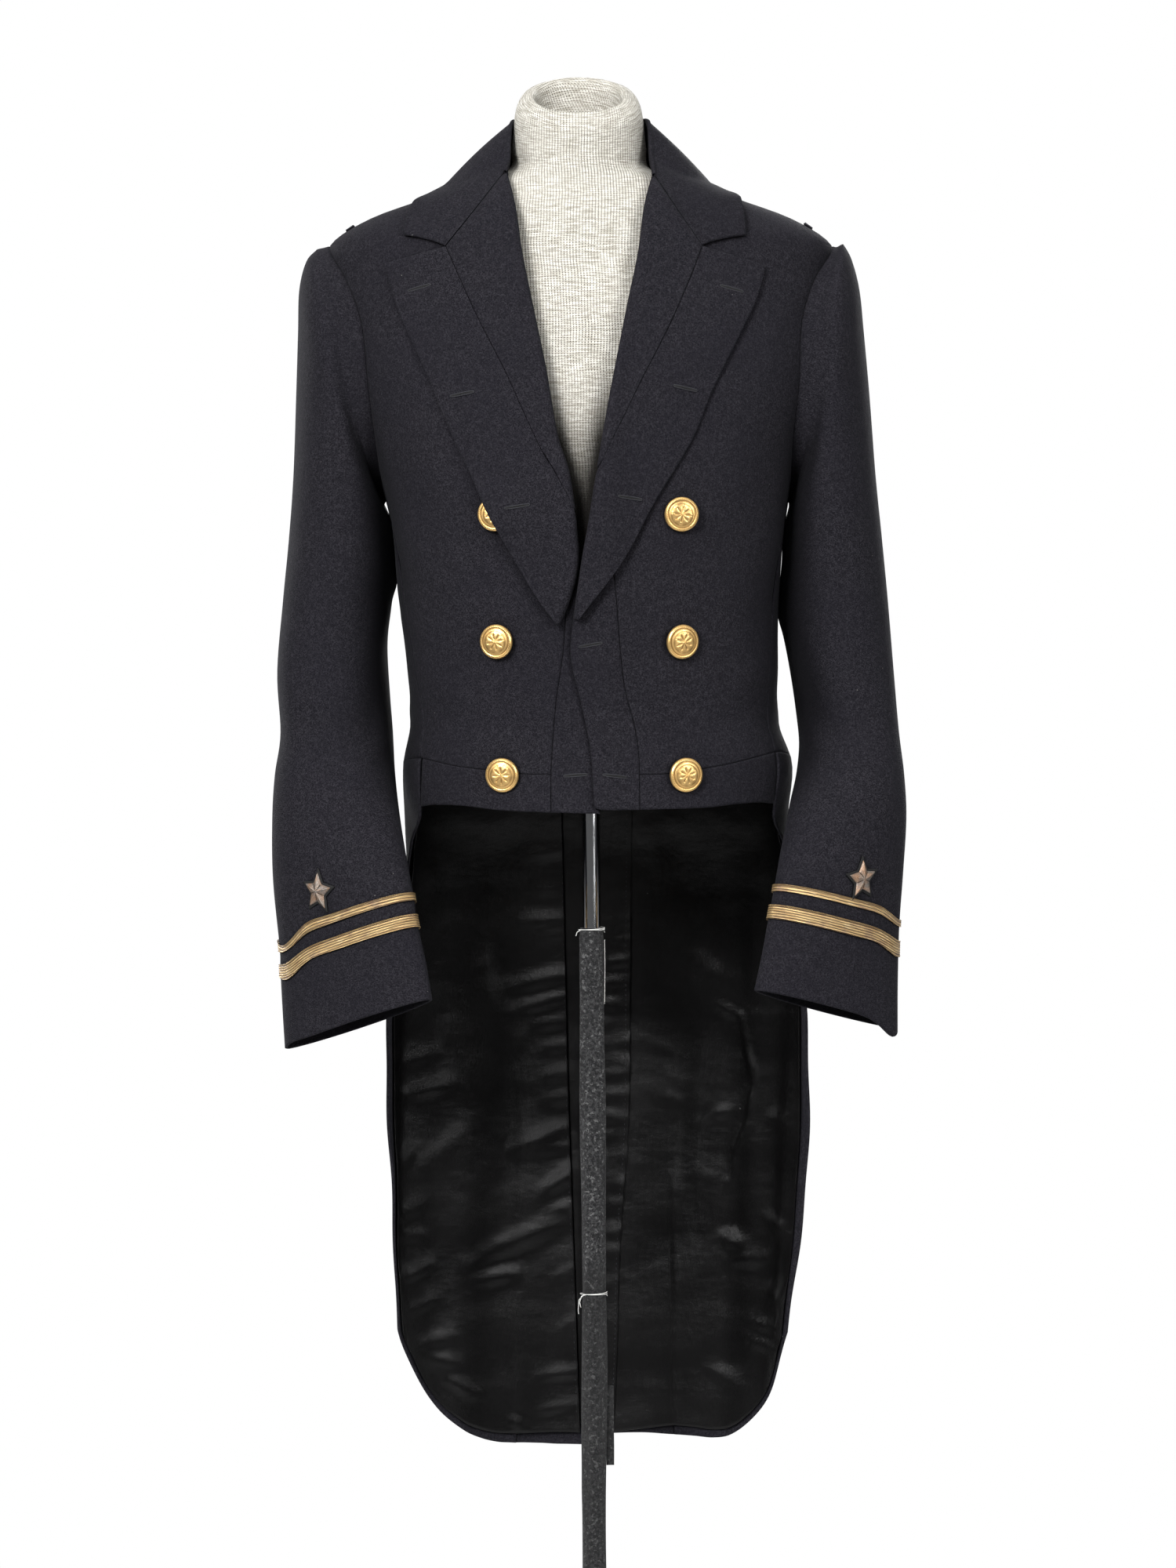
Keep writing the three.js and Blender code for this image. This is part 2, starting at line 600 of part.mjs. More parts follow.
// Black satin linings of the tails, from the vent to the turned edge of the wool
const liningInner = line([[419, -6], [560, -11], [700, -16], [820, -19], [950, -22]]);
const liningInset = line([[419, 0.93], [700, 0.94], [800, 0.9], [931, 0.87]]);
const LINING_HEM = 9;
function liningGrid(side) {
  const grid = skirtRows.map((z, i) => {
    const level = i === 0 ? z + LINING_HEM : z;
    const inner = angleAtX(level, side === "r" ? liningInner(level) : centreX(level) + 1.5, true);
    const pleat = angleAtX(level, centreX(level) + sign[side] * pleatOff(level), true);
    const panel = steps(3).slice(0, 3).map((u) => [mix(inner, pleat, u), level]);
    const round = steps(10).map((u) => {
      const [degrees, height] = tailAddress(side, Math.min(u, liningInset(z)), i);
      const top = mix(946, 922, smooth(0.72, 0.92, u));
      const raised = i === 0 ? height + LINING_HEM : height;
      const below = i > 8 ? (skirtRows.length - 1 - i) * 9 : 0;
      return [degrees, Math.min(raised, top - below)];
    });
    return [...panel, ...round.slice(0, 10)].map(([degrees, height], j) => {
      const clear = 2.2 * smooth(7, 12, j) * smooth(830, 900, height);
      return coatPoint(degrees, height, LAYER.lining - clear);
    });
  });
  const ordered = side === "l" ? grid.map((row) => [...row].reverse()) : grid;
  return eased(ordered, 0.25);
}
// Satin facing of the vent underlap
const facingOuter = line([[455, 22], [500, 24], [560, 25.5], [620, 29], [650, 31.9], [700, 34], [850, 35],
  [931, 36]]);
function ventFacingGrid() {
  const rows = [460, ...skirtRows.filter((z) => z > 470 && z < VENT_TOP)];
  const grid = rows.map((z) =>
    steps(7).map((u) => {
      const x = mix(liningInner(z) + 0.8, facingOuter(z), u);
      const lift = mix(LAYER.lining, LAYER.facing, smooth(centreX(z) - 15, centreX(z) - 4, x));
      return coatPoint(angleAtX(z, x, true), z, lift);
    }),
  );
  return eased(grid.map((row) => [...row].reverse()), 0.1);
}

// Lapels: the facing lies inside the seam and the lapel outside it.
const notch = { r: [-108, 1358], l: [86, 1358] };
const peak = { r: [-154, 1346.6], l: [134.6, 1344.6] };
const gorgeTop = { r: [-60.6, 1418], l: [48, 1415] };
const leafOuter = {
  r: line([[1068, -23], [1093, -40.8], [1134, -63.8], [1184, -88.6], [1209, -101], [1264, -123.5],
    [1309, -143], [1346.6, -154]]),
  l: line([[1072, -7], [1116, 26], [1159, 49], [1209, 78.5], [1247, 93.9], [1288, 113.4], [1318, 127],
    [1344.6, 134.6]]),
};
const LEAF_BOTTOM = { r: 1069, l: 1073 };
const SEAM_BOTTOM = { r: 1160, l: 1192 };
const BUTTON_ROW = { top: 1152, middle: 1056.5, low: 956 };
function leafLift(x, z, side) {
  const roll = Math.abs(x - rollEdge[side](clamp(z, 1072, 1416)));
  const soft = 2.8 + 4.2 * bell(roll, 34) + lapOver(x, side);
  const overButton = side === "r" ? 7.6 * bell(z - BUTTON_ROW.top, 28) * bell(x + 68, 26) : 0;
  return soft + overButton;
}
// A turned leaf between two lines. Each row is a height on its inner and on its outer line.
function leafGrid(side, inner, outer, rows, colCount) {
  const grid = rows.map(([a, b]) =>
    steps(colCount).map((u) => {
      const z = mix(a, b, u);
      const x = mix(inner(a), outer(b), u);
      return frontPoint(x, z, leafLift(x, z, side));
    }),
  );
  const ordered = side === "r" ? grid.map((row) => [...row].reverse()) : grid;
  return eased(ordered, SEAM / 2, false);
}
const seamLevels = (side) => steps(12).map((v) => mix(SEAM_BOTTOM[side], notch[side][1], v));
function lapelGrid(side) {
  const bottom = LEAF_BOTTOM[side];
  const [low, top] = [SEAM_BOTTOM[side], notch[side][1]];
  const inner = (z) => mix(rollEdge[side](z), leafSeam[side](z), smooth(low - 14, low, z));
  const levels = [...steps(6).slice(0, 6).map((v) => mix(bottom, low, v)), ...seamLevels(side)];
  const rows = levels.map((z) => [z, mix(bottom - 1, peak[side][1], (z - bottom) / (top - bottom))]);
  return leafGrid(side, inner, leafOuter[side], rows, 4);
}
function facingGrid(side) {
  const [low, top] = [SEAM_BOTTOM[side], notch[side][1]];
  const rows = seamLevels(side).map((z) => [mix(low - 6, gorgeTop[side][1], (z - low) / (top - low)), z]);
  return leafGrid(side, rollEdge[side], leafSeam[side], rows, 3);
}

// Collar: a stand against the neck, a fold, and a leaf that lies over the shoulders
const collarRows = table("at foldX foldY foldZ edgeX edgeY edgeZ stand", [
  [0, -61.5, -46, 1419, -109.5, -70, 1361, 2],
  [1, -61.8, -40, 1430, -139, -60, 1371, 8],
  [2, -61.5, -28, 1447, -131, -38, 1384, 18],
  [3, -60, -12, 1461, -121, -14, 1402, 28],
  [4.5, -54, 20, 1468, -113, 30, 1411, 34],
  [6, -36, 46, 1471, -78, 72, 1412, 38],
  [7.5, -7, 56, 1472, -6, 88, 1410, 40],
  [9, 23, 46, 1471, 66, 72, 1412, 38],
  [10.5, 41, 20, 1468, 101, 30, 1411, 34],
  [12, 47.5, -12, 1462, 107, -14, 1399, 28],
  [13, 48.5, -28, 1447, 112, -38, 1384, 18],
  [14, 49, -40, 1430, 118.5, -60, 1368, 8],
  [15, 48.7, -46, 1417, 88, -70, 1361, 2],
]);
const COLLAR_END = 15;
const COAT_TOP = 1432; // the leaf is pushed clear of the coat below this height and stands free above it
// The gorge seam, where the end of the collar's leaf meets the top of the facing
function gorgePoint(side, u) {
  const z = mix(gorgeTop[side][1], notch[side][1], u);
  const x = mix(gorgeTop[side][0], notch[side][0], u);
  const beside = 0.9;
  return frontPoint(x + sign[side] * beside, z + beside, leafLift(x, z, side));
}
function collarGrid() {
  const stations = steps(25).map((t) => t * COLLAR_END);
  return stations.map((at) => {
    const side = at < COLLAR_END / 2 ? "r" : "l";
    const fromEnd = Math.min(at, COLLAR_END - at);
    const row = collarRows(at);
    const fold = vec(row.foldX, row.foldY, row.foldZ);
    const edge = vec(row.edgeX, row.edgeY, row.edgeZ);
    const inward = vec(edge.x - fold.x, edge.y - fold.y, 0).normalize();
    const leaf = steps(5).map((u) => {
      const p = fold.clone().lerp(edge, u);
      p.z += 3 * Math.sin(Math.PI * u);
      const free = smooth(COAT_TOP - 8, COAT_TOP + 8, p.z);
      const laid = clearOf(p, mix(5.6, 2.9, u)).lerp(p, free);
      return laid.lerp(gorgePoint(side, u), 1 - smooth(0, 0.9, fromEnd));
    });
    const crest = leaf[0].clone();
    // A tall stand spreads at its foot, as the neck does.
    const spread = smooth(16, 30, row.stand);
    const below = (out, down) => crest.clone().addScaledVector(inward, out).add(vec(0, 0, -down));
    const foot = below(mix(-1.2, 4.6, spread), Math.max(row.stand, 3));
    const waist = below(mix(-2.2, 0.8, spread), Math.max(row.stand * 0.45, 1.5));
    crest.z += 1.2;
    return [foot, waist, crest, ...leaf.slice(1)];
  });
}

// Sleeves: rings from the armhole to the cuff. "out" is the edge away from the body, "in" the edge beside it.
const sleeveNames = "at outX outY outZ inX inY inZ front back rise";
const sleeveRings = {
  r: table(sleeveNames, [
    [1, -211, 10, 1365.5, -165, 10, 1166, 68, 68, 0],
    [2, -219.5, 10, 1356, -164, 10, 1160, 70, 70, 0],
    [3, -225, 10, 1334, -160, 10, 1151, 71, 71, 0],
    [4, -226, 10, 1300, -156, 10, 1140, 71, 71, 0],
    [5, -227.5, 10, 1250, -152.8, 10, 1126, 69, 68, 0],
    [6, -229.5, 10, 1190, -151.2, 9, 1108, 66, 64, 0],
    [7, -233, 9, 1140, -153.5, 8, 1086, 62, 60, 0],
    [8, -237.5, 8, 1092, -156, 6, 1058, 58, 55, 0],
    [9, -241.5, 8, 1036, -154, 0, 1016, 54, 48, 0],
    [10, -238, 6, 988, -151.5, -10, 980, 49, 40, 1],
    [11, -241, 2, 955, -150, -26, 958, 45, 34, 2],
    [12, -241.5, -4, 920, -147, -46, 934, 41, 29, 3],
    [13, -240.5, -14, 872, -141, -70, 900, 34, 25, 3],
    [14, -236, -24, 822, -133.5, -84, 863, 27, 23, 2],
    [15, -235.5, -28, 805, -131, -88, 846, 25, 22, 1.6],
    [16, -234, -33, 775, -124, -94, 816, 23, 21, 1.3],
    [17, -232, -38, 745, -118.5, -99, 786, 22, 20, 1],
  ]),
  l: table(sleeveNames, [
    [1, 198, 10, 1366, 161, 10, 1166, 68, 68, 0],
    [2, 205.5, 10, 1356, 162, 10, 1160, 70, 70, 0],
    [3, 211.5, 10, 1334, 160, 10, 1151, 71, 71, 0],
    [4, 215, 10, 1300, 156.6, 10, 1140, 71, 71, 0],
    [5, 219.5, 10, 1250, 153.6, 10, 1126, 69, 68, 0],
    [6, 224, 10, 1190, 151.6, 9, 1108, 66, 64, 0],
    [7, 229, 9, 1140, 150.8, 8, 1086, 62, 60, 0],
    [8, 234, 8, 1086, 154, 6, 1058, 58, 55, 0],
    [9, 238, 8, 1028, 161, 0, 1016, 54, 48, 0],
    [10, 240, 4, 988, 164.5, -12, 985, 49, 36, 1],
    [11, 241, -2, 955, 162.5, -34, 960, 45, 29, 2],
    [12, 241.5, -10, 920, 156, -56, 934, 41, 25, 3],
    [13, 239.5, -20, 876, 148.5, -74, 900, 34, 23, 3],
    [14, 238, -28, 842, 142.5, -84, 870, 27, 22, 2],
    [15, 237.5, -31, 824, 139, -88, 853, 25, 21, 1.6],
    [16, 237, -35, 790, 132.5, -94, 820, 23, 20, 1.3],
    [17, 237, -38, 761, 126.5, -99, 793, 22, 20, 1],
  ]),
};
const CUFF = 17;
function sleeveRingPoint(side, at, turn, lift) {
  const row = sleeveRings[side](at);
  const out = vec(row.outX, row.outY, row.outZ);
  const inn = vec(row.inX, row.inY, row.inZ);
  const middle = out.clone().add(inn).multiplyScalar(0.5);
  const across = out.clone().sub(middle);
  const flat = vec(across.x, across.y, 0);
  const level = flat.length() < 1 ? vec(sign[side], 0, 0) : flat.normalize();
  const forward = vec(level.y * sign[side], -level.x * sign[side], 0);
  const angle = THREE.MathUtils.degToRad(turn);
  const [c, s] = [Math.cos(angle), Math.sin(angle)];
  const depth = s > 0 ? row.front : row.back;
  const widen = 1 + lift / across.length();
  const p = middle.clone().addScaledVector(across, c * widen);
  p.addScaledVector(forward, s * (depth + lift));
  p.z += s * row.rise;
  return p;
}
// The head ring lies on the armhole and the next rings carry it to the level rings of the arm.
function sleevePoint(side, at, turn, lift = 0) {
  if (at >= 1) {
    return sleeveRingPoint(side, at, turn, lift);
  }
  const seat = armholePoint(turn, sign[side], 1.1);
  return seat.lerp(sleeveRingPoint(side, 1, turn, 0), at);
}
const HINDARM = 12;
const FOREARM = 190;
const sleeveStops = [0, 0.5, 1, 1.8, 2.6, 3.5, 4.5, 5.5, 6.6, 8, 9.3, 10.6, 12, 13, 14, 15, CUFF];
const SLEEVE_COLUMNS = 10;
// The whole sleeve is laid out as one ring of columns, then cut into its top and under piece.
const sleeveTurns = Array.from({ length: 2 * SLEEVE_COLUMNS }, (_, j) =>
  j < SLEEVE_COLUMNS
    ? mix(HINDARM, FOREARM, j / SLEEVE_COLUMNS)
    : mix(FOREARM, HINDARM + 360, j / SLEEVE_COLUMNS - 1),
);
function sleeveGrid(side, piece) {
  const count = 2 * SLEEVE_COLUMNS;
  const upward = [...sleeveStops].reverse();
  const whole = upward.map((at) => sleeveTurns.map((turn) => sleevePoint(side, at, turn)));
  const ordered = side === "r" ? whole : whole.map((row) => [...row].reverse());
  const normals = gridNormals(ordered, true);
  ordered.forEach((row, i) => row.forEach((p, j) => Object.assign(p, { normal: normals[i][j] })));
  const start = piece === "top" ? 0 : SLEEVE_COLUMNS;
  const from = side === "r" ? start : count - 1 - start - SLEEVE_COLUMNS;
  const cut = ordered.map((row) => steps(SLEEVE_COLUMNS).map((_, k) => row[(from + k + count) % count]));
  return eased(cut);
}
const laceAt = { r: { narrow: 14, wide: 15 }, l: { narrow: 14, wide: 15 } };
function laceGrid(side, kind) {
  const width = kind === "wide" ? WIDE_LACE : NARROW_LACE;
  const centre = laceAt[side][kind];
  const perRing = kind === "wide" ? 30 : 36;
  const half = width / 2 / perRing;
  const turns = side === "r" ? sleeveTurns : [...sleeveTurns].reverse();
  return [centre + half, centre - half].map((at) => turns.map((turn) => sleevePoint(side, at, turn, 1.6)));
}

// Five-pointed star on the sleeve, one ray up and tilted towards the coat's front edge
const STAR_TILT = THREE.MathUtils.degToRad(17);
function star(side, at, turn) {
  const upTurn = 0.2;
  const origin = sleevePoint(side, at, turn, 0);
  const up = sleevePoint(side, at - upTurn, turn, 0).sub(origin).normalize();
  const across = sleevePoint(side, at, turn - 6, 0).sub(origin).normalize();
  const face = across.clone().cross(up).normalize();
  if (face.y > 0) {
    face.negate();
  }
  const right = up.clone().cross(face).normalize();
  const ring = (scale, lift) =>
    Array.from({ length: 10 }, (_, k) => {
      const radius = (k % 2 === 0 ? STAR_RADIUS : STAR_RADIUS * 0.46) * scale;
      const angle = (k / 10) * 2 * Math.PI + Math.PI / 2 + sign[side] * STAR_TILT;
      const [a, b] = [radius * Math.cos(angle), radius * Math.sin(angle)];
      const bend = (a * a) / 90;
      const p = origin.clone().addScaledVector(right, a).addScaledVector(up, b);
      return p.addScaledVector(face, lift - bend);
    });
  const profile = [[0.06, 1.6], [0.55, 1.5], [1, 1.5], [1, 2.3], [0.55, 3.4], [0.06, 4.6]];
  return loft(profile.map(([scale, lift]) => ring(scale, lift)));
}

// Domed button on the coat's face
function button(point, along) {
  const profile = [
    [BUTTON_RADIUS - 1.4, 0.9],
    [BUTTON_RADIUS, 2.2],
    [BUTTON_RADIUS - 1.2, 3.4],
    [BUTTON_RADIUS * 0.66, 5.2],
    [BUTTON_RADIUS * 0.3, 6.3],
  ];
  return turned(profile, 14, point, along);
}
function buttonOn(x, z, lift = 0, back = false) {
  const degrees = angleAtX(z, x, back);
  const point = coatPoint(degrees, z, lift);
  const aside = coatPoint(degrees + 2, z, lift).sub(point);
  const up = coatPoint(degrees, z + 6, lift).sub(coatPoint(degrees, z - 6, lift));
  return button(point, aside.cross(up).normalize());
}

// Shoulder loop: a narrow strap across the shoulder near the armhole
function shoulderLoop(x, side) {
  const length = 34;
  const width = 9;
  const [middle, height, rest] = [8, 1378, 1.6];
  const grid = steps(3).map((v) =>
    steps(6).map((u) => {
      const bow = 2.6 * Math.sin(Math.PI * u);
      const across = sign[side] * mix(-width / 2, width / 2, v);
      return clearOf(vec(x + across, middle + mix(-length / 2, length / 2, u), height), rest + bow);
    }),
  );
  const rows = side === "l" ? grid.map((row) => [...row].reverse()) : grid;
  return wall(rows, rest);
}

// Dress form, closed, with a hollow in the neck cap
function dressForm() {
  const count = 30;
  const body = [FORM_BOTTOM, 950, 960, 998, 1040, 1095, 1155, 1210, 1260, 1305, 1336, 1358, 1376, 1392];
  const neck = [1400.8, 1408.8, 1416.8, 1426, 1442, 1462, 1474, 1481, 1483];
  const heights = [...body, ...neck];
  const rings = heights.map((z) => {
    const row = formSection(z);
    return Array.from({ length: count }, (_, j) => {
      const p = sectionPoint(row, (j / count) * 360);
      p.z += row.tip * (p.y + 7);
      return p;
    });
  });
  const rim = rings[rings.length - 1];
  const middle = rim.reduce((sum, p) => sum.add(p), vec(0, 0, 0)).divideScalar(count);
  const shrink = (share, drop) => rim.map((p) => middle.clone().lerp(p, share).add(vec(0, 0, -drop)));
  rings.push(shrink(0.82, 3), shrink(0.72, 12), shrink(0.6, 18), shrink(0.25, 20));
  return loft(rings);
}

// Pole stand. The pole leans a little to the wearer's left on its way down.
const poleX = (z) => mix(7.6, 2.3, z / HEM_FRONT);
function poleSolid(profile, segments) {
  const rings = profile.map(([radius, z]) =>
    Array.from({ length: segments }, (_, j) => {
      const at = (j / segments) * 2 * Math.PI;
      return vec(poleX(z) + radius * Math.cos(at), radius * Math.sin(at), z);
    }),
  );
  return loft(rings);
}
const coverRadius = (at, z) => COVER_RADIUS + 0.5 * Math.sin(3 * at + z * 0.013) + 0.5 * Math.sin(z * 0.03);
function coverWall() {
  const heights = [BASE_THICKNESS + 26, 140, 260, 380, 480, 560, 640, 730, 810, COVER_TOP];
  const grid = heights.map((z) =>
    Array.from({ length: 16 }, (_, j) => {
      const at = (j / 16) * 2 * Math.PI;
      const radius = coverRadius(at, z);
      return vec(poleX(z) + radius * Math.cos(at), radius * Math.sin(at), z);
    }),
  );
  return wall(grid, COVER, true);
}
// Loose end of the pole cover
function coverFlap() {
  const [reach, thickness] = [5.2, 1];
  const grid = [419, 440, 462, 481].map((z) =>
    steps(2).map((u) => {
      const x = poleX(z) + coverRadius(0, z) + mix(SEAM, reach, u);
      return vec(x, thickness / 2 + 0.6 * u * Math.sin(z * 0.2), z);
    }),
  );
  return wall(grid, thickness);
}

const finishes = {
  navy_wool: { color: 0x14161f, roughness: 0.92, metalness: 0 },
  black_satin: { color: 0x08080a, roughness: 0.35, metalness: 0 },
  form_jersey: { color: 0xcfc9b8, roughness: 0.95, metalness: 0 },
  chrome: { color: 0xc8cacc, roughness: 0.12, metalness: 1 },
  black_cloth: { color: 0x1b1b1d, roughness: 0.9, metalness: 0 },
  black_steel: { color: 0x161617, roughness: 0.45, metalness: 0.3 },
  gold_lace: { color: 0xc4913a, roughness: 0.42, metalness: 0.8 },
  bullion: { color: 0x8d7d68, roughness: 0.5, metalness: 0.7 },
  gilt: { color: 0xe0a82e, roughness: 0.28, metalness: 1 },
};

function build() {
  const group = new THREE.Group();
  group.name = "naval_dress_tailcoat";
  const add = (name, geometry, finish) => {
    const material = new THREE.MeshStandardMaterial({ ...finishes[finish], name: finish });
    const mesh = new THREE.Mesh(geometry, material);
    mesh.name = name;
    group.add(mesh);
  };
  const sides = [["r", "right"], ["l", "left"]];

  add("base_plate", turned([
    [BASE_RADIUS - 3, 0],
    [BASE_RADIUS, 2.5],
    [BASE_RADIUS, BASE_THICKNESS - 3],
    [BASE_RADIUS - 4, BASE_THICKNESS],
  ], 40, vec(0, 0, 0)), "black_steel");
  const socket = [[22, BASE_THICKNESS + SEAM], [22, 16], [13, 20], [13, SOCKET_TOP]];
  add("pole_socket", poleSolid(socket, 24), "chrome");
  const poleEnds = [SOCKET_TOP + SEAM, 400, FORM_BOTTOM - SEAM];
  add("pole", poleSolid(poleEnds.map((z) => [POLE_RADIUS, z]), 20), "chrome");
  add("pole_cover", coverWall(), "black_cloth");
  add("cover_flap", coverFlap(), "black_cloth");
  add("dress_form", dressForm(), "form_jersey");

  for (const [side, name] of sides) {
    add(`front_${name}`, wall(frontGrid(side), CLOTH), "navy_wool");
    add(`front_edge_${name}`, wall(stripGrid(side), CLOTH), "navy_wool");
    add(`waist_strap_${name}`, wall(strapGrid(side), CLOTH), "navy_wool");
    add(`side_body_${name}`, wall(sideGrid(side), CLOTH), "navy_wool");
    add(`back_${name}`, wall(backGrid(side), CLOTH), "navy_wool");
    add(`tail_${name}`, wall(tailGrid(side), CLOTH), "navy_wool");
    add(`tail_lining_${name}`, wall(liningGrid(side), SATIN), "black_satin");
    add(`facing_${name}`, wall(facingGrid(side), CLOTH), "navy_wool");
    add(`lapel_${name}`, wall(lapelGrid(side), CLOTH), "navy_wool");
    add(`top_sleeve_${name}`, wall(sleeveGrid(side, "top"), CLOTH), "navy_wool");
    add(`under_sleeve_${name}`, wall(sleeveGrid(side, "under"), CLOTH), "navy_wool");
    add(`narrow_lace_${name}`, wall(laceGrid(side, "narrow"), LACE, true), "gold_lace");
    add(`wide_lace_${name}`, wall(laceGrid(side, "wide"), LACE, true), "gold_lace");
  }
  add("vent_underlap", wall(underlapGrid(), 1.4), "navy_wool");
  add("vent_facing", wall(ventFacingGrid(), SATIN), "black_satin");
  add("collar", wall(collarGrid(), 1.8), "navy_wool");
  add("shoulder_loop_right", shoulderLoop(-183, "r"), "navy_wool");
  add("shoulder_loop_left", shoulderLoop(168, "l"), "navy_wool");
  add("star_right", star("r", 13.45, 88), "bullion");
  add("star_left", star("l", 13.4, 90), "bullion");
  const buttonX = { r: [-69.5, -68, -64], l: [70, 70, 73] };
  const buttonZ = [BUTTON_ROW.top, BUTTON_ROW.middle, BUTTON_ROW.low];
  for (const [side, name] of sides) {
    ["top", "middle", "low"].forEach((row, i) => {
      add(`button_${row}_${name}`, buttonOn(buttonX[side][i], buttonZ[i]), "gilt");
    });
    const x = centreX(WAIST) + sign[side] * 34;
    add(`back_button_${name}`, buttonOn(x, WAIST, 0.6, true), "gilt");
  }
  return group;
}

export default build();
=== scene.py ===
import math

import bpy
import numpy as np
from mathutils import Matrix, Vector


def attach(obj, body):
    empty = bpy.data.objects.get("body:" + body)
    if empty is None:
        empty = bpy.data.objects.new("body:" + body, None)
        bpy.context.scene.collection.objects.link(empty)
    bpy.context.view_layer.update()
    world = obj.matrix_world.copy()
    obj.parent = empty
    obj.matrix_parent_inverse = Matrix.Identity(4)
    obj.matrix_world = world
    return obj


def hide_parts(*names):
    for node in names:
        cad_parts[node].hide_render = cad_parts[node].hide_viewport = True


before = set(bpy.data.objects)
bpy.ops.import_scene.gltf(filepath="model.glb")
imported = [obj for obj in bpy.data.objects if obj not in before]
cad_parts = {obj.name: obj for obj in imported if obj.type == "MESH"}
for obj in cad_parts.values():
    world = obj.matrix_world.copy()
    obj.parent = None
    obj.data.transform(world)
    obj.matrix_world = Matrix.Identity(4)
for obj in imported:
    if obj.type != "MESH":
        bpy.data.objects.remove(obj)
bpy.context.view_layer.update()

# Naval dress tailcoat on a dress form with a pole stand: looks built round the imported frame.
# Shapes are worked out in millimetres in the frame's axes and made in metres.
MM = 0.001
# Thickness of the walls
CLOTH, FOLDED_CLOTH, LOOP_CLOTH, UNDERLAP_CLOTH = 2.0, 1.8, 1.5, 1.4
SATIN, LACE = 0.8, 0.7
# Levels above the floor
HEM_FRONT = 930.0
HEM_TAIL = 419.0
WAIST = 966.0
NECK_ROW = 1425.4
SHOULDER_POINT = 1368.0
SIDE_SEAM_TOP = 1184.0
BACK_SEAM_TOP = 1262.0
VENT_TOP = 948.0
COVER_TOP = 837.0
LOW_TIE = 553.0
FORM_NECK = 1483.0
# Size of a button, and the wearer's right and left
BUTTON_RADIUS = 12.7
SIGN = {"r": -1.0, "l": 1.0}
SIDES = (("r", "right"), ("l", "left"))


# Camera at the photograph's angle: level, in front, at waist height
EYE = (0.0, -3.5, 0.949)
LENS, SENSOR = 103.3, 36.0


def camera():
    data = bpy.data.cameras.new("camera")
    data.lens = LENS
    data.sensor_width = SENSOR
    data.clip_start, data.clip_end = 0.05, 60.0
    eye = bpy.data.objects.new("camera", data)
    eye.location = EYE
    eye.rotation_euler = (math.radians(90), 0, 0)
    bpy.context.scene.collection.objects.link(eye)
    bpy.context.scene.camera = eye


camera()


# Small helpers
def steps(count):
    return np.linspace(0.0, 1.0, count + 1)


def mix(a, b, t):
    return a + (b - a) * t


def smooth(low, high, v):
    t = np.clip((v - low) / (high - low), 0, 1)
    return t * t * (3 - 2 * t)


def bell(v, width):
    return np.exp(-((v / width) ** 2))


def unit(v):
    return v / np.maximum(np.linalg.norm(v, axis=-1, keepdims=True), 1e-9)


# A bump of some width in degrees round a place on a ring
def ring_bell(turn, place, width):
    return bell(np.mod(turn + 180 - place, 360) - 180, width)


# Angles round a ring, in degrees and as one row
def round_ring(count):
    return np.linspace(0, 360, count + 1)[None, :-1]


# Fades to nothing at both ends of a span from 0 to 1
def between(u, margin):
    return smooth(0, margin, u) * smooth(1, 1 - margin, u)


# Stops across a piece of some width, with one close to each end so that the edge stays crisp
def stops(count, edge):
    inner = np.linspace(edge, 1 - edge, count - 1)
    return np.concatenate([[0.0], inner, [1.0]])


class Row(dict):
    __getattr__ = dict.get


# A table is a line of column names and rows of numbers, read smoothly at any key
def table(names, rows):
    names = names.split()
    data = np.array(sorted(rows), float)
    keys = data[:, 0]
    last = len(keys) - 1
    up = np.minimum(np.arange(last + 1) + 1, last)
    down = np.maximum(np.arange(last + 1) - 1, 0)
    slope = (data[up] - data[down]) / (keys[up] - keys[down])[:, None]

    def read(key):
        at = np.clip(np.asarray(key, float), keys[0], keys[-1])
        i = np.clip(np.searchsorted(keys, at) - 1, 0, last - 1)
        span = (keys[i + 1] - keys[i])[..., None]
        t = (at - keys[i])[..., None] / span
        a, b, rise = slope[i] * span, slope[i + 1] * span, data[i + 1] - data[i]
        out = data[i] + rise * t + t * (1 - t) * ((a - rise) * (1 - t) - (b - rise) * t)
        return Row({name: out[..., c] for c, name in enumerate(names)})

    return read


def line(rows):
    read = table("key value", rows)
    return lambda key: read(key).value


# The coat's outer face and the dress form as level sections
coat_section = table("z left right mid front back power", [
    [1432, -63, 51, 6, -52, 70, 2.1],
    [1419, -90, 78, 6, -60, 75, 2.1],
    [1411, -110, 98, 7, -65, 79, 2.1],
    [1403, -129, 118, 7, -70, 82, 2.1],
    [1388, -171, 160, 9, -77, 88, 2.1],
    [1368, -201, 190, 10, -85, 95, 2.2],
    [1340, -203, 191, 10, -95, 102, 2.2],
    [1305, -195, 185, 9, -105, 108, 2.3],
    [1260, -186, 179, 9, -115, 112, 2.4],
    [1210, -170, 164, 9, -121, 112, 2.5],
    [1155, -154, 154, 10, -123, 107, 2.5],
    [1095, -147, 148, 11, -119, 98, 2.5],
    [1040, -141, 148, 12, -113, 88, 2.5],
    [998, -138, 148, 13, -109, 82, 2.5],
    [965, -144, 159, 14, -110, 86, 2.4],
    [925, -143, 156, 16, -113, 98, 2.3],
    [890, -141, 157, 18, -114, 109, 2.3],
    [850, -147, 163, 20, -115, 117, 2.3],
    [766, -161, 173, 22, -115, 121, 2.3],
    [640, -161, 173, 24, -115, 119, 2.4],
    [419, -160, 172, 24, -115, 112, 2.4],
])
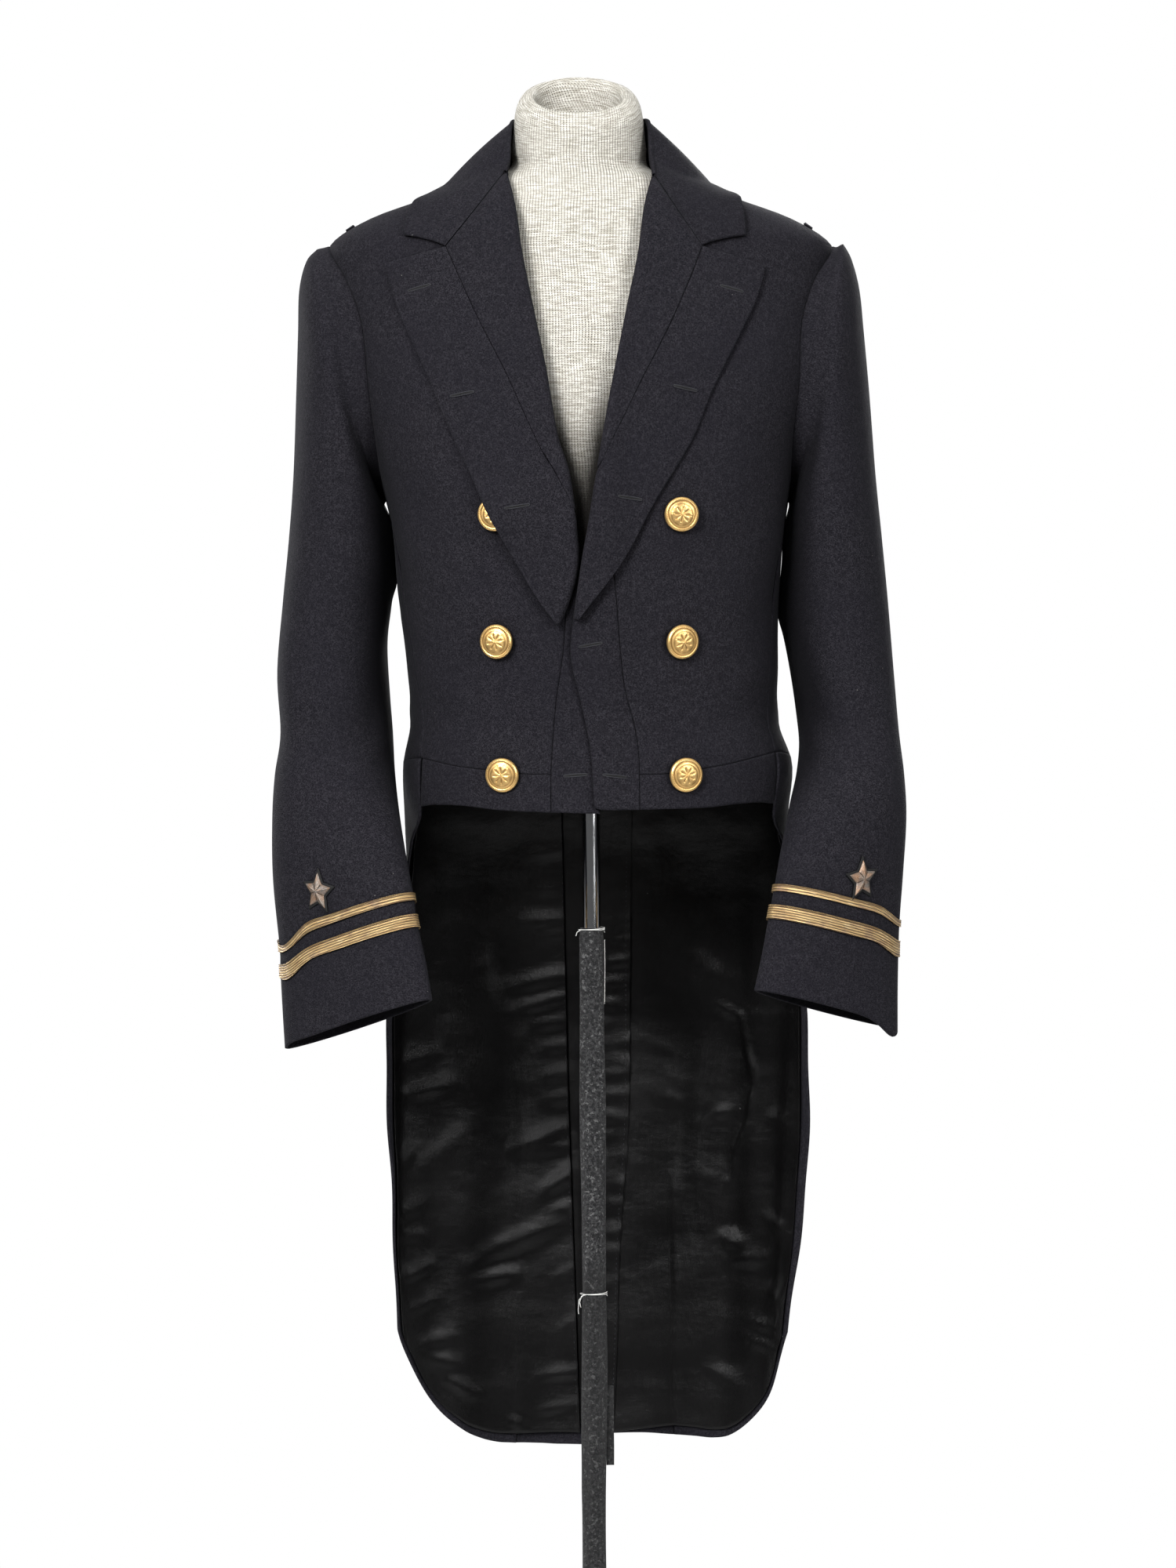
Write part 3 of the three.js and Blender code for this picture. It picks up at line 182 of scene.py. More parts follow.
form_section = table("z left right mid front back power tip", [
    [946, -112, 119, 10, -84, 62, 2.3, 0],
    [950, -124, 131, 12, -94, 70, 2.3, 0],
    [960, -128, 138, 13, -98, 74, 2.3, 0],
    [998, -129, 139, 13, -100, 73, 2.4, 0],
    [1040, -132, 139, 12, -104, 79, 2.4, 0],
    [1095, -138, 139, 11, -110, 89, 2.4, 0],
    [1155, -145, 145, 10, -114, 98, 2.4, 0],
    [1210, -157, 152, 9, -111, 103, 2.4, 0],
    [1260, -168, 161, 9, -105, 103, 2.3, 0],
    [1305, -174, 164, 9, -96, 99, 2.2, 0],
    [1336, -172, 161, 9, -86, 94, 2.2, 0],
    [1358, -168, 156, 9, -79, 88, 2.1, 0],
    [1376, -158, 147, 9, -74, 83, 2.1, 0],
    [1392, -142, 131, 8, -69, 79, 2.1, 0],
    [1400.8, -127, 116, 7, -65, 76, 2.1, 0],
    [1408.8, -108.6, 96.6, 6, -60, 72, 2.1, 0],
    [1416.8, -87, 75, 3, -57, 65, 2.1, 0.02],
    [1426, -62, 49, -2, -55, 52, 2.1, 0.08],
    [1442, -59.8, 45.4, -4, -53, 46, 2.1, 0.2],
    [1462, -57.6, 43.1, -6, -52, 42, 2.1, 0.40],
    [1474, -55.3, 40.8, -7, -51, 39, 2.1, 0.51],
    [1481, -50.8, 36.3, -7, -46.5, 34.5, 2.1, 0.55],
    [1483, -45.8, 31.3, -7, -41.5, 29.5, 2.1, 0.55],
])


def power(v, p):
    return np.sign(v) * np.abs(v) ** p


# A point of a level section, some way out from it
def section_point(row, degrees, lift=0.0):
    at = np.radians(degrees)
    c, s = np.cos(at), np.sin(at)
    middle, half = (row.left + row.right) / 2, (row.right - row.left) / 2
    depth = np.where(s < 0, row.mid - row.front, row.back - row.mid)
    x, y = power(c, 2 / row.power) * half, power(s, 2 / row.power) * depth
    nx, ny = power(x / half, row.power - 1) / half, power(y / depth, row.power - 1) / depth
    size = np.maximum(np.hypot(nx, ny), 1e-9)
    return np.stack([middle + x + nx / size * lift, row.mid + y + ny / size * lift, row.z + 0 * x], -1)


def angle_at_x(z, x, back=False):
    row = coat_section(z)
    share = np.clip((x - (row.left + row.right) / 2) / ((row.right - row.left) / 2), -1, 1)
    angle = np.degrees(np.arccos(power(share, row.power / 2)))
    return angle if back else -angle


def angle_at_y(z, y, side):
    row = coat_section(z)
    depth = np.where(y < row.mid, row.mid - row.front, row.back - row.mid)
    share = np.clip((y - row.mid) / depth, -1, 1)
    angle = np.degrees(np.arcsin(power(share, row.power / 2)))
    return angle if side == "l" else -180 - angle


# Slow waves of the tails, which grow towards the hem
def hang(degrees, z):
    low = smooth(900, 620, z)
    return low * (2.6 * np.sin(degrees * 0.13 + 0.9) + 1.6 * np.sin(degrees * 0.31 + z * 0.006))


def coat(degrees, z, lift=0.0):
    degrees, z = np.broadcast_arrays(np.asarray(degrees, float), np.asarray(z, float))
    return section_point(coat_section(z), degrees, lift + hang(degrees, z))


def front_point(x, z, lift):
    return coat(angle_at_x(z, x), z, lift)


def centre_x(z):
    row = coat_section(z)
    return (row.left + row.right) / 2


# Armhole as an oval in the side view, and the seams that cross the body
ARMHOLE = Row(y=10.0, z=1269.0, half=99.0, front=66.0, back=66.0)


def armhole_y(z, back):
    share = np.sqrt(np.clip(1 - ((z - ARMHOLE.z) / ARMHOLE.half) ** 2, 0, 1))
    return ARMHOLE.y + (ARMHOLE.back if back else -ARMHOLE.front) * share


side_seam_x = {
    "r": line([[930, -128], [966, -127], [1000, -124]]),
    "l": line([[930, 142], [966, 144], [1000, 138]]),
}
back_seam_off = line([[940, 34], [966, 33], [1010, 35], [1080, 48], [1150, 70], [1210, 98], [1262, 140]])
pleat_off = line([[419, 64], [600, 60], [800, 50], [900, 41], [966, 33]])
shoulder_y = line([[SHOULDER_POINT, 14], [1400, 17], [1429, 19]])
waist_at = {
    "r": line([[-128, 969], [-103, 963.2], [-78, 959.7], [-50, 956.7], [-28, 956]]),
    "l": line([[38, 956], [61, 956.7], [86, 960.3], [113, 965.6], [145, 974]]),
}
hem_at = {
    "r": line([[-128, 931.5], [-119, 933], [-96, 932.4], [-69, 929.4], [-35, 927.7], [9, 926.5]]),
    "l": line([[4.7, 931], [10, 929.5], [20, 929.3], [56, 930], [91, 931.2], [113, 933.6], [134, 934.8],
               [145, 933]]),
}
roll_edge = {
    "r": line([[1068, -21], [1085, -14], [1112, -7], [1144, -8.3], [1160, -10.1], [1185, -14.2],
               [1209, -21.9], [1263, -31.4], [1306, -40.2], [1354, -49.7], [1388, -54.4], [1418, -60.6]]),
    "l": line([[1072, -11.2], [1093, -8.3], [1118, -4.7], [1141, -0.6], [1175, 4.7], [1232, 14.2],
               [1270, 21.3], [1310, 29], [1354, 37.8], [1388, 42], [1416, 48]]),
}
leaf_seam = {
    "r": line([[1068, -21], [1150, -10], [1180, -23], [1199, -34.2], [1231, -49], [1259, -61.4],
               [1304, -83.8], [1358, -107.5]]),
    "l": line([[1072, -10], [1140, -0.6], [1182, 7], [1235, 31.3], [1250, 38.4], [1299, 62.6],
               [1337, 78.5], [1358, 86.2]]),
}
strip_seam = {
    "r": line([[930, -27.8], [960, -27.8], [1010, -24.2], [1046, -18.9], [1068, -17.2], [1110, -15],
               [1150, -13]]),
    "l": line([[930, 39], [969, 38.4], [994, 34.9], [1013, 29.6], [1028, 26.6], [1059, 23.6],
               [1103, 19.5], [1150, 9], [1182, 8]]),
}
strip_edge = {
    "r": line([[930, 9], [960, 6], [1000, 3], [1040, 1], [1075, -1], [1112, -5], [1136, -7]]),
    "l": line([[930, 4.7], [974, 1.8], [1010, -5.3], [1044, -13], [1072, -11.2], [1093, -8], [1118, -4.5],
               [1141, 0], [1165, 3.5]]),
}
leaf_outer = {
    "r": line([[1068, -23], [1093, -40.8], [1134, -63.8], [1184, -88.6], [1209, -101], [1264, -123.5],
               [1309, -143], [1346.6, -154]]),
    "l": line([[1072, -7], [1116, 26], [1159, 49], [1209, 78.5], [1247, 93.9], [1288, 113.4], [1318, 127],
               [1344.6, 134.6]]),
}
# Ends of the seams and edges above, and the level of the top buttons
STRIP_TOP = {"r": 1130.0, "l": 1150.0}
LEAF_BOTTOM = {"r": 1069.0, "l": 1073.0}
SEAM_BOTTOM = {"r": 1160.0, "l": 1192.0}
NOTCH = {"r": (-108.0, 1358.0), "l": (86.0, 1358.0)}
PEAK_Z = {"r": 1346.6, "l": 1344.6}
GORGE = {"r": (-60.6, 1418.0), "l": (48.0, 1415.0)}
TOP_BUTTON_Z = 1152.0


# On the right side, angles count on past the half turn instead of turning negative
def turn_past(angle, side):
    return np.where(angle < 0, angle + 360, angle) if side == "r" else angle


def foot_of(side):
    return waist_at[side](side_seam_x[side](WAIST))


def side_seam(z, side):
    foot = foot_of(side)
    below = angle_at_x(z, side_seam_x[side](z))
    low = angle_at_x(foot, side_seam_x[side](foot))
    high = angle_at_y(SIDE_SEAM_TOP, armhole_y(SIDE_SEAM_TOP, False), side)
    t = np.clip((z - foot) / (SIDE_SEAM_TOP - foot), 0, 1)
    return np.where(z <= foot, below, mix(low, high, t * (1.25 - 0.25 * t)))


def back_seam(z, side):
    high = angle_at_y(BACK_SEAM_TOP, armhole_y(BACK_SEAM_TOP, True), side)
    top = high + 360 if side == "r" else high
    plain = angle_at_x(z, centre_x(z) + SIGN[side] * back_seam_off(z), True)
    return mix(plain, top, smooth(1170, BACK_SEAM_TOP, z))


def front_outer(z, side):
    at_armhole = angle_at_y(z, armhole_y(z, False), side)
    at_shoulder = angle_at_y(z, shoulder_y(z), side)
    upper = np.where(z < SHOULDER_POINT, at_armhole, at_shoulder)
    return np.where(z < SIDE_SEAM_TOP, side_seam(z, side), upper)


def back_outer(z, side):
    turn = 360 if side == "r" else 0
    skirt = angle_at_x(z, centre_x(z) + SIGN[side] * pleat_off(z), True)
    at_armhole = turn + angle_at_y(z, armhole_y(z, True), side)
    at_shoulder = turn + angle_at_y(z, shoulder_y(z), side)
    upper = np.where(z < SHOULDER_POINT, at_armhole, at_shoulder)
    body = np.where(z < BACK_SEAM_TOP, back_seam(z, side), upper)
    return np.where(z < WAIST, skirt, body)


# The left front lies over the right one
LAP_LIFT = 3.4


def lap_over(x, side):
    return LAP_LIFT * (1 - smooth(12, 34, x)) if side == "l" else 0.0 * x


# Height added by soft folds: each row is a line from one point to another, its half width and its height
def folds(a, b, rows):
    height = np.zeros(np.broadcast(a, b).shape)
    for a0, b0, a1, b1, width, rise in rows:
        da, db = a1 - a0, b1 - b0
        t = np.clip(((a - a0) * da + (b - b0) * db) / max(da * da + db * db, 1e-6), 0, 1)
        far = np.hypot(a - a0 - t * da, b - b0 - t * db)
        fade = 0.35 + 0.65 * np.sin(np.pi * np.clip(t, 0.06, 0.94))
        height = height + rise * fade * bell(far, width)
    return height


FRONT_FOLDS = {
    "r": [
        (-150, 1165, -118, 1110, 13, 1.6), (-143, 1120, -112, 1072, 12, -1.2),
        (-128, 1215, -105, 1150, 16, 1.2), (-138, 1040, -96, 1012, 12, 1.1),
        (-120, 1000, -70, 992, 9, -0.8), (-100, 975, -48, 968, 6, 0.7), (-60, 1030, -30, 1008, 9, 0.8),
        (-150, 1320, -140, 1250, 12, 1.3), (-92, 1088, -52, 1076, 9, 0.7),
    ],
    "l": [
        (147, 1175, 122, 1100, 14, 1.8), (150, 1120, 128, 1060, 11, -1.3),
        (120, 1220, 100, 1150, 17, 1.2), (143, 1040, 100, 1015, 12, 1.1), (128, 1002, 84, 990, 9, -0.9),
        (110, 976, 60, 967, 6, 0.7), (60, 1040, 36, 1010, 10, 0.8), (145, 1330, 136, 1250, 12, 1.2),
        (92, 1090, 50, 1075, 9, 0.6),
    ],
}
BACK_FOLDS = [
    (-60, 1330, -20, 1290, 16, 1.2), (60, 1330, 22, 1288, 16, 1.2), (-110, 1250, -70, 1180, 14, 1.4),
    (108, 1245, 66, 1178, 14, 1.3), (-40, 1060, -8, 1020, 11, 1.0), (44, 1050, 12, 1014, 11, 1.0),
    (-30, 1000, 30, 992, 7, -0.9), (-70, 1110, -40, 1070, 12, -0.9), (75, 1105, 44, 1066, 12, -0.8),
]
TAIL_FOLDS = {
    "r": [(-150, 900, -130, 560, 15, 2.0), (-110, 860, -96, 480, 14, 1.8), (-128, 880, -118, 600, 9, -1.6),
          (-90, 900, -74, 640, 8, -1.4), (-60, 700, -52, 440, 10, 1.2)],
    "l": [(162, 900, 142, 560, 15, 2.0), (122, 860, 108, 480, 14, 1.8), (140, 880, 128, 600, 9, -1.6),
          (100, 900, 88, 640, 8, -1.4), (72, 700, 64, 440, 10, 1.2)],
}


# Level of a front point above the waist seam, which dips to the middle
def above_waist(z0, x, side):
    return z0 + (waist_at[side](x) - WAIST) * (1 - smooth(WAIST, 1014, z0))


def front_rows():
    return np.unique(np.concatenate([
        [WAIST, WAIST + 1.5], np.linspace(972, 1180, 40), [SIDE_SEAM_TOP],
        np.linspace(1189, SHOULDER_POINT - 3, 36), [SHOULDER_POINT],
        np.linspace(1372, NECK_ROW - 1.5, 14), [NECK_ROW],
    ]))


def front_grid(side):
    z0 = front_rows()[:, None]
    u = stops(34, 0.012)[None, :]

    def inner(z):
        strip = strip_seam[side](z)
        roll = roll_edge[side](z) + SIGN[side] * 1.5
        return angle_at_x(z, np.where(z > STRIP_TOP[side], roll, strip))

    degrees = mix(inner(z0), front_outer(z0, side), u)
    x = coat(degrees, z0)[..., 0]
    z = above_waist(z0, x, side)
    degrees = mix(inner(z), front_outer(z, side), u)
    x = coat(degrees, z)[..., 0]
    lift = lap_over(x, side) * (1 - smooth(1170, 1200, z)) + folds(x, z, FRONT_FOLDS[side])
    edge = 0.9 * smooth(0.03, 0.0, u) * smooth(SIDE_SEAM_TOP, 1200, z)
    return coat(degrees, z, lift - edge)


def strip_grid(side):
    v = stops(34, 0.01)[:, None]
    u = stops(10, 0.05)[None, :]
    level = mix(HEM_FRONT, STRIP_TOP[side], v)
    x = mix(strip_seam[side](level), strip_edge[side](level), u)
    z = level + (hem_at[side](x) - HEM_FRONT) * (1 - smooth(HEM_FRONT, 956, level))
    curl = 0.7 * smooth(0.7, 1.0, u) * np.sin(z * 0.035 + (1.2 if side == "l" else 0.2))
    return front_point(x, z, lap_over(x, side) + curl)


def strap_grid(side):
    v = stops(8, 0.06)[:, None]
    u = stops(40, 0.012)[None, :]
    end = side_seam_x[side](WAIST)
    level = mix(hem_at[side](end), waist_at[side](end), v)
    x = mix(strip_seam[side](np.minimum(level, 956)), side_seam_x[side](level), u)
    z = mix(hem_at[side](x), waist_at[side](x), v)
    wave = 0.5 * np.sin(x * 0.09 + 0.5) * (1 - v)
    return front_point(x, z, lap_over(x, side) + wave)


def waist_level(degrees, side):
    foot = foot_of(side)
    past = np.abs(turn_past(degrees, side) - turn_past(side_seam(foot, side), side))
    return mix(foot, WAIST, smooth(0, 50, past))


def side_grid(side):
    front = math.asin((ARMHOLE.y - armhole_y(SIDE_SEAM_TOP, False)) / ARMHOLE.front)
    back = -math.asin((armhole_y(BACK_SEAM_TOP, True) - ARMHOLE.y) / ARMHOLE.back)
    foot = foot_of(side)
    v, u = stops(44, 0.012)[:, None], stops(22, 0.02)[None, :]

    def low(u):
        angle = mix(turn_past(side_seam(foot, side), side), turn_past(back_seam(WAIST, side), side), u)
        return angle, waist_level(angle, side)

    def high(u):
        at = mix(front, back, u)
        z = ARMHOLE.z - ARMHOLE.half * np.cos(at)
        return turn_past(angle_at_y(z, ARMHOLE.y - ARMHOLE.front * np.sin(at), side), side), z

    def ends(v):
        z_left, z_right = mix(foot, SIDE_SEAM_TOP, v), mix(WAIST, BACK_SEAM_TOP, v)
        return ((turn_past(side_seam(z_left, side), side), z_left),
                (turn_past(back_seam(z_right, side), side), z_right))

    left, right = ends(v)
    corners = [low(0.0), low(1.0), high(0.0), high(1.0)]
    spots = []
    for k in (0, 1):
        flat = mix(mix(corners[0][k], corners[1][k], u), mix(corners[2][k], corners[3][k], u), v)
        spots.append(mix(low(u)[k], high(u)[k], v) + mix(left[k], right[k], u) - flat)
    degrees, z = spots
    p = coat(degrees, z)
    ripple = folds(p[..., 1], z, [(-40, 1150, -10, 1080, 14, 1.4), (20, 1180, 40, 1090, 13, -1.2),
                                  (-30, 1010, 30, 1000, 9, 1.0), (60, 1200, 66, 1110, 10, 1.0)])
    return coat(degrees, z, ripple)


# How deep the inner layers of the tails lie
LAYER = Row(lining=-2.7, underlap=-4.4, facing=-6.5)
tail_hem = line([[-37, 419.7], [-5.6, 418], [0, 419], [6, 426], [20, 428.5], [47, 429], [72, 428.5]])
CORNER_RISE = {
    "r": line([[0, 0], [0.15, 1], [0.3, 5], [0.45, 12], [0.62, 26], [0.76, 46], [0.88, 66], [1, 96]]),
    "l": line([[0, 7], [0.15, 6], [0.3, 4.5], [0.45, 7], [0.62, 18], [0.76, 34], [0.88, 58], [1, 94]]),
}
edge_sweep = line([[931, -27], [918, -22], [902, -14], [882, -6], [850, 0], [800, 5], [740, 9],
                   [640, 13.5], [540, 20.5], [470, 27], [419, 34]])


# Below the vent's top the right back steps in under the left one
def jog(x, z):
    centre = centre_x(z)
    return (1 - smooth(VENT_TOP - 14, VENT_TOP, z)) * smooth(centre - 10, centre - 1, x)


def back_grid(side):
    rows = np.unique(np.concatenate([
        [HEM_TAIL + 2, HEM_TAIL + 3.4], np.linspace(428, 940, 70),
        [VENT_TOP - 3, VENT_TOP, WAIST - 1.2, WAIST],
        np.linspace(974, BACK_SEAM_TOP, 40), np.linspace(1270, SHOULDER_POINT - 4, 16), [SHOULDER_POINT],
        np.linspace(1373, NECK_ROW - 1.5, 12), [NECK_ROW],
    ]))[:, None]
    u = stops(22, 0.02)[None, :]
    reach = 0.8 if side == "l" else 0.0
    inner = np.where(rows < VENT_TOP, angle_at_x(rows, centre_x(rows) + reach, True), 90.0)
    degrees = mix(inner, back_outer(rows, side), u)
    x = coat(degrees, rows)[..., 0]
    hem = mix(tail_hem(x), HEM_TAIL + 2 + CORNER_RISE[side](0.0), smooth(0.5, 1, u))
    z = rows + (hem - HEM_TAIL - 2) * (1 - smooth(HEM_TAIL, 455, rows))
    lift = LAYER.underlap * jog(x, z) if side == "r" else 0.0
    lift = lift + folds(x, z, BACK_FOLDS) * between(u, 0.1)
    return coat(degrees, z, lift)


underlap_edge = line([[430, 20.5], [500, 22.5], [560, 24.5], [620, 28], [700, 32.5], [931, 35]])


def underlap_grid():
    z = np.linspace(HEM_TAIL + 8, 931, 70)[:, None]
    u = stops(10, 0.05)[None, :]
    x = mix(centre_x(z) + 0.4, underlap_edge(z), u)
    return coat(angle_at_x(z, x, True), z, LAYER.underlap + 0.5 * np.sin(z * 0.05) * u)


def tail_edge(z, side):
    free = 180 - edge_sweep(z) if side == "r" else edge_sweep(z)
    return mix(free, turn_past(side_seam(z, side), side), smooth(905, 931, z))


# Angle and level of a tail's point, from the pleat at 0 to the free edge at 1
def tail_address(side, u, z0):
    v = (z0 - HEM_TAIL - 2) / (WAIST - HEM_TAIL - 2)
    low = HEM_TAIL + 2 + CORNER_RISE[side](u) * (1 - v) ** 2
    guess = mix(low, WAIST, v)
    pleat = angle_at_x(guess, centre_x(guess) + SIGN[side] * pleat_off(guess), True)
    degrees = mix(pleat, tail_edge(guess, side), u)
    z = guess + (waist_level(degrees, side) - WAIST) * smooth(0.93, 1, v)
    return np.where(u >= 1, tail_edge(z, side), degrees), z


# The free edge waves in and out a little, as worn cloth does
def edge_wave(u, z):
    slow, quick = np.sin(z * 0.021 + 0.4), np.sin(z * 0.067)
    return 1.6 * smooth(0.72, 1.0, u) * slow + 0.7 * smooth(0.85, 1, u) * quick


def tail_lift(side, degrees, u, z):
    x = coat(degrees, z)[..., 0]
    return folds(x, z, TAIL_FOLDS[side]) * smooth(0, 0.08, u) * smooth(1, 0.9, u) + edge_wave(u, z)


def tail_grid(side):
    hem, waist = [HEM_TAIL + 2, HEM_TAIL + 3.5], [WAIST - 1.2, WAIST]
    rows = np.concatenate([hem, np.linspace(428, 958, 80), waist])[:, None]
    u = stops(44, 0.012)[None, :]
    degrees, z = tail_address(side, u, rows)
    pleat = -1.3 * bell(u, 0.035) * smooth(WAIST, 930, z)
    return coat(degrees, z, tail_lift(side, degrees, u, z) + pleat)


# Puckers and creases of the satin, as x and z of each end, half width and height towards the inside
SATIN_FOLDS = {
    "r": [
        (-18, 896, -48, 893, 5, 1.0), (-17, 866, -44, 864, 5, 1.0), (-16, 842, -52, 838, 5, 1.2),
        (-15, 829, -40, 826, 4, 0.9), (-14, 797, -62, 786, 7, 1.7), (-13, 780, -60, 768, 6, 1.5),
        (-13, 760, -44, 755, 5, 1.2), (-12, 741, -38, 736, 5, 1.1), (-12, 717, -40, 715, 5, 1.2),
        (-11, 698, -34, 695, 5, 1.1), (-10, 676, -62, 655, 7, 2.0), (-10, 660, -46, 652, 5, 1.2),
        (-10, 640, -36, 621, 6, 1.9), (-9, 612, -34, 606, 4, 1.0), (-14, 602, -96, 566, 9, 2.2),
        (-58, 558, -92, 551, 6, 1.8), (-10, 560, -28, 552, 4, 0.9), (-9, 520, -22, 512, 4, 0.8),
        (-8, 478, -38, 474, 5, 1.6), (-12, 452, -40, 446, 5, 1.1), (-52, 435, -66, 440, 5, 1.2),
        (-112, 710, -148, 702, 6, 1.6), (-124, 736, -150, 726, 6, 1.2), (-96, 676, -140, 640, 9, 1.2),
        (-140, 662, -152, 644, 6, 1.7), (-132, 616, -156, 606, 6, 1.2), (-128, 588, -152, 592, 5, 1.0),
        (-128, 566, -152, 556, 5, 1.5), (-120, 540, -146, 530, 5, 1.1), (-112, 508, -140, 502, 6, 1.7),
        (-104, 486, -138, 494, 6, 1.9), (-92, 462, -118, 478, 6, 1.8), (-88, 800, -62, 742, 12, 1.6),
        (-110, 620, -84, 560, 12, -1.2), (-100, 850, -120, 790, 13, 1.2), (-58, 720, -82, 640, 12, -1.3),
    ],
    "l": [
        (124, 766, 128, 746, 3.2, 1.3), (128, 746, 136, 712, 3.2, 1.6), (136, 712, 130, 676, 3.2, 1.6),
        (130, 676, 120, 656, 3, 1.3), (120, 656, 118, 636, 3, 1.2), (118, 636, 110, 622, 4, 1.0),
        (106, 772, 122, 762, 4, 1.6), (58, 752, 44, 758, 5, 1.0), (66, 735, 44, 745, 5, 1.1),
        (70, 715, 46, 728, 5, 1.1), (72, 694, 48, 706, 5, 1.0), (46, 655, 62, 654, 4, 0.9),
        (44, 560, 66, 561, 4, 1.3), (100, 684, 118, 688, 5, 1.5), (88, 636, 108, 632, 5, 1.4),
        (106, 588, 128, 578, 7, 2.0), (112, 566, 142, 572, 6, 1.7), (146, 604, 160, 592, 5, 1.2),
        (130, 506, 150, 500, 5, 1.7), (134, 520, 152, 516, 5, 1.2), (146, 684, 160, 680, 5, 1.2),
        (96, 806, 110, 790, 8, 1.1), (150, 548, 158, 530, 5, 1.0), (92, 700, 100, 560, 16, -0.8),
        (70, 620, 76, 500, 13, 1.2), (120, 900, 136, 820, 12, 1.2), (60, 880, 74, 800, 12, 1.0),
        (60, 842, 46, 846, 5, 0.9), (50, 800, 62, 796, 5, 0.9), (100, 480, 120, 470, 6, 1.2),
    ],
}
# Puckers of the satin strip by the vent: level and height
STRIP_PUCKERS = [
    (880, 0.5), (862, 0.7), (838, 1.0), (824, 0.8), (806, 1.1), (790, 0.8), (772, 1.2), (757, 0.9),
    (741, 1.2), (727, 1.0), (716, 1.1), (699, 0.9), (682, 1.1), (668, 0.8), (650, 0.8), (628, 1.1),
    (612, 0.9), (590, 0.7), (574, 0.7), (548, 0.6), (520, 0.5),
]
lining_inner = line([[419, -6], [560, -11], [700, -16], [820, -19], [950, -22]])
lining_inset = line([[419, 0.975], [500, 0.97], [560, 0.955], [640, 0.94], [700, 0.93], [760, 0.92],
                     [931, 0.88]])
LINING_TOP = 944.0


def lining_grid(side):
    rows = np.linspace(HEM_TAIL + 2, LINING_TOP, 150)[:, None]
    panel = np.linspace(0, 1, 26)[None, :-1]
    round_ = np.linspace(0, 1, 64)[None, :]
    hem = 8.0 * (1 - smooth(HEM_TAIL, 460, rows))
    level = rows + hem + 0 * panel
    inner_x = lining_inner(level) if side == "r" else centre_x(level) + 1.5
    inner = angle_at_x(level, inner_x, True)
    pleat = angle_at_x(level, centre_x(level) + SIGN[side] * pleat_off(level), True)
    low_shift = 7.0 * (1 - smooth(HEM_TAIL, 460, rows)) if side == "l" else 0.0
    panel_at = mix(inner, pleat, panel), level + low_shift * panel
    u = round_ * lining_inset(rows)
    degrees, z = tail_address(side, u, rows)
    ceiling = mix(LINING_TOP, 921, smooth(0.72, 0.92, u))
    z = z + hem * (1 - 0.5 * u)
    over = np.clip((rows - 860) / (LINING_TOP - 860), 0, 1)
    z = np.minimum(z, mix(z, ceiling - (LINING_TOP - rows) * 0.9, over))
    degrees = np.concatenate([panel_at[0], degrees], 1)
    z = np.concatenate([panel_at[1], z], 1)
    column = np.concatenate([0 * panel, round_], 1)
    p = coat(degrees, z)
    clear = 2.2 * smooth(0.45, 0.9, column) * smooth(830, 900, z)
    pucker = folds(p[..., 0], z, SATIN_FOLDS[side])
    wave = 0.5 * np.sin(p[..., 0] * 0.11 + z * 0.03) + 0.35 * np.sin(z * 0.09 - p[..., 0] * 0.06)
    inside = np.maximum(1.7 * pucker + wave * smooth(930, 860, z), -0.2)
    edges = smooth(1, 0.97, column)
    if side == "l":
        edges = smooth(0, 0.03, column) * edges
    across = np.concatenate([0 * panel_at[0], u], 1)
    body = tail_lift(side, degrees, across, z) - 1.6 * bell(across, 0.06)
    return coat(degrees, z, LAYER.lining - clear - inside * (0.25 + 0.75 * edges) - 0.7 + body)


facing_edge = line([[436, 21], [500, 24], [560, 25.5], [620, 29], [650, 31.9], [700, 34], [850, 35],
                    [931, 36]])


def vent_facing_grid():
    z = np.linspace(436, 931, 200)[:, None]
    u = stops(22, 0.03)[None, :]
    x = mix(lining_inner(z) + 0.8, facing_edge(z), u)
    lift = mix(LAYER.lining - 0.4, LAYER.facing, smooth(centre_x(z) - 15, centre_x(z) - 4, x))
    pucker = 0.0 * z * u
    for k, (height, rise) in enumerate(STRIP_PUCKERS):
        slant = (x - 20) * (0.12 if k % 3 else -0.08)
        uneven = 0.6 + 0.4 * np.sin(x * 0.15 + k)
        pucker = pucker + rise * bell(z - height - slant, 5.5) * smooth(6, 16, x) * uneven
    return coat(angle_at_x(z, x, True), z, lift - 1.7 * pucker)


def from_roll(x, z, side):
    return np.abs(x - roll_edge[side](np.clip(z, 1072, 1416)))


# Height of the turned leaf above the coat; on the right it also lies over the top button
def leaf_lift(x, z, side):
    soft = 2.8 + 4.2 * bell(from_roll(x, z, side), 34) + lap_over(x, side)
    over = 7.6 * bell(z - TOP_BUTTON_Z, 28) * bell(x + 68, 26) if side == "r" else 0.0
    return soft + over


# The same height, rounded down to the coat at the roll
ROLL_RADIUS, ROLL_DEPTH = 5.0, 4.4


def rolled(x, z, side):
    near = np.clip(ROLL_RADIUS - from_roll(x, z, side), 0, ROLL_RADIUS) / ROLL_RADIUS
    return leaf_lift(x, z, side) - ROLL_DEPTH * (1 - np.sqrt(np.clip(1 - near ** 2, 0, 1)))


# Distances from the roll at which the leaf has its first columns
ROLL_STOPS = np.array([0.0, 0.12, 0.45, 1.0, 1.8, 2.9, 4.2, 5.6])


def leaf_columns(width, count):
    fixed = ROLL_STOPS[None, :] * np.minimum(1.0, width / 14.0)
    rest = stops(count, 0.03)[None, 1:]
    share = fixed / width
    return np.concatenate([share, mix(share[:, -1:], 1.0, rest)], 1)


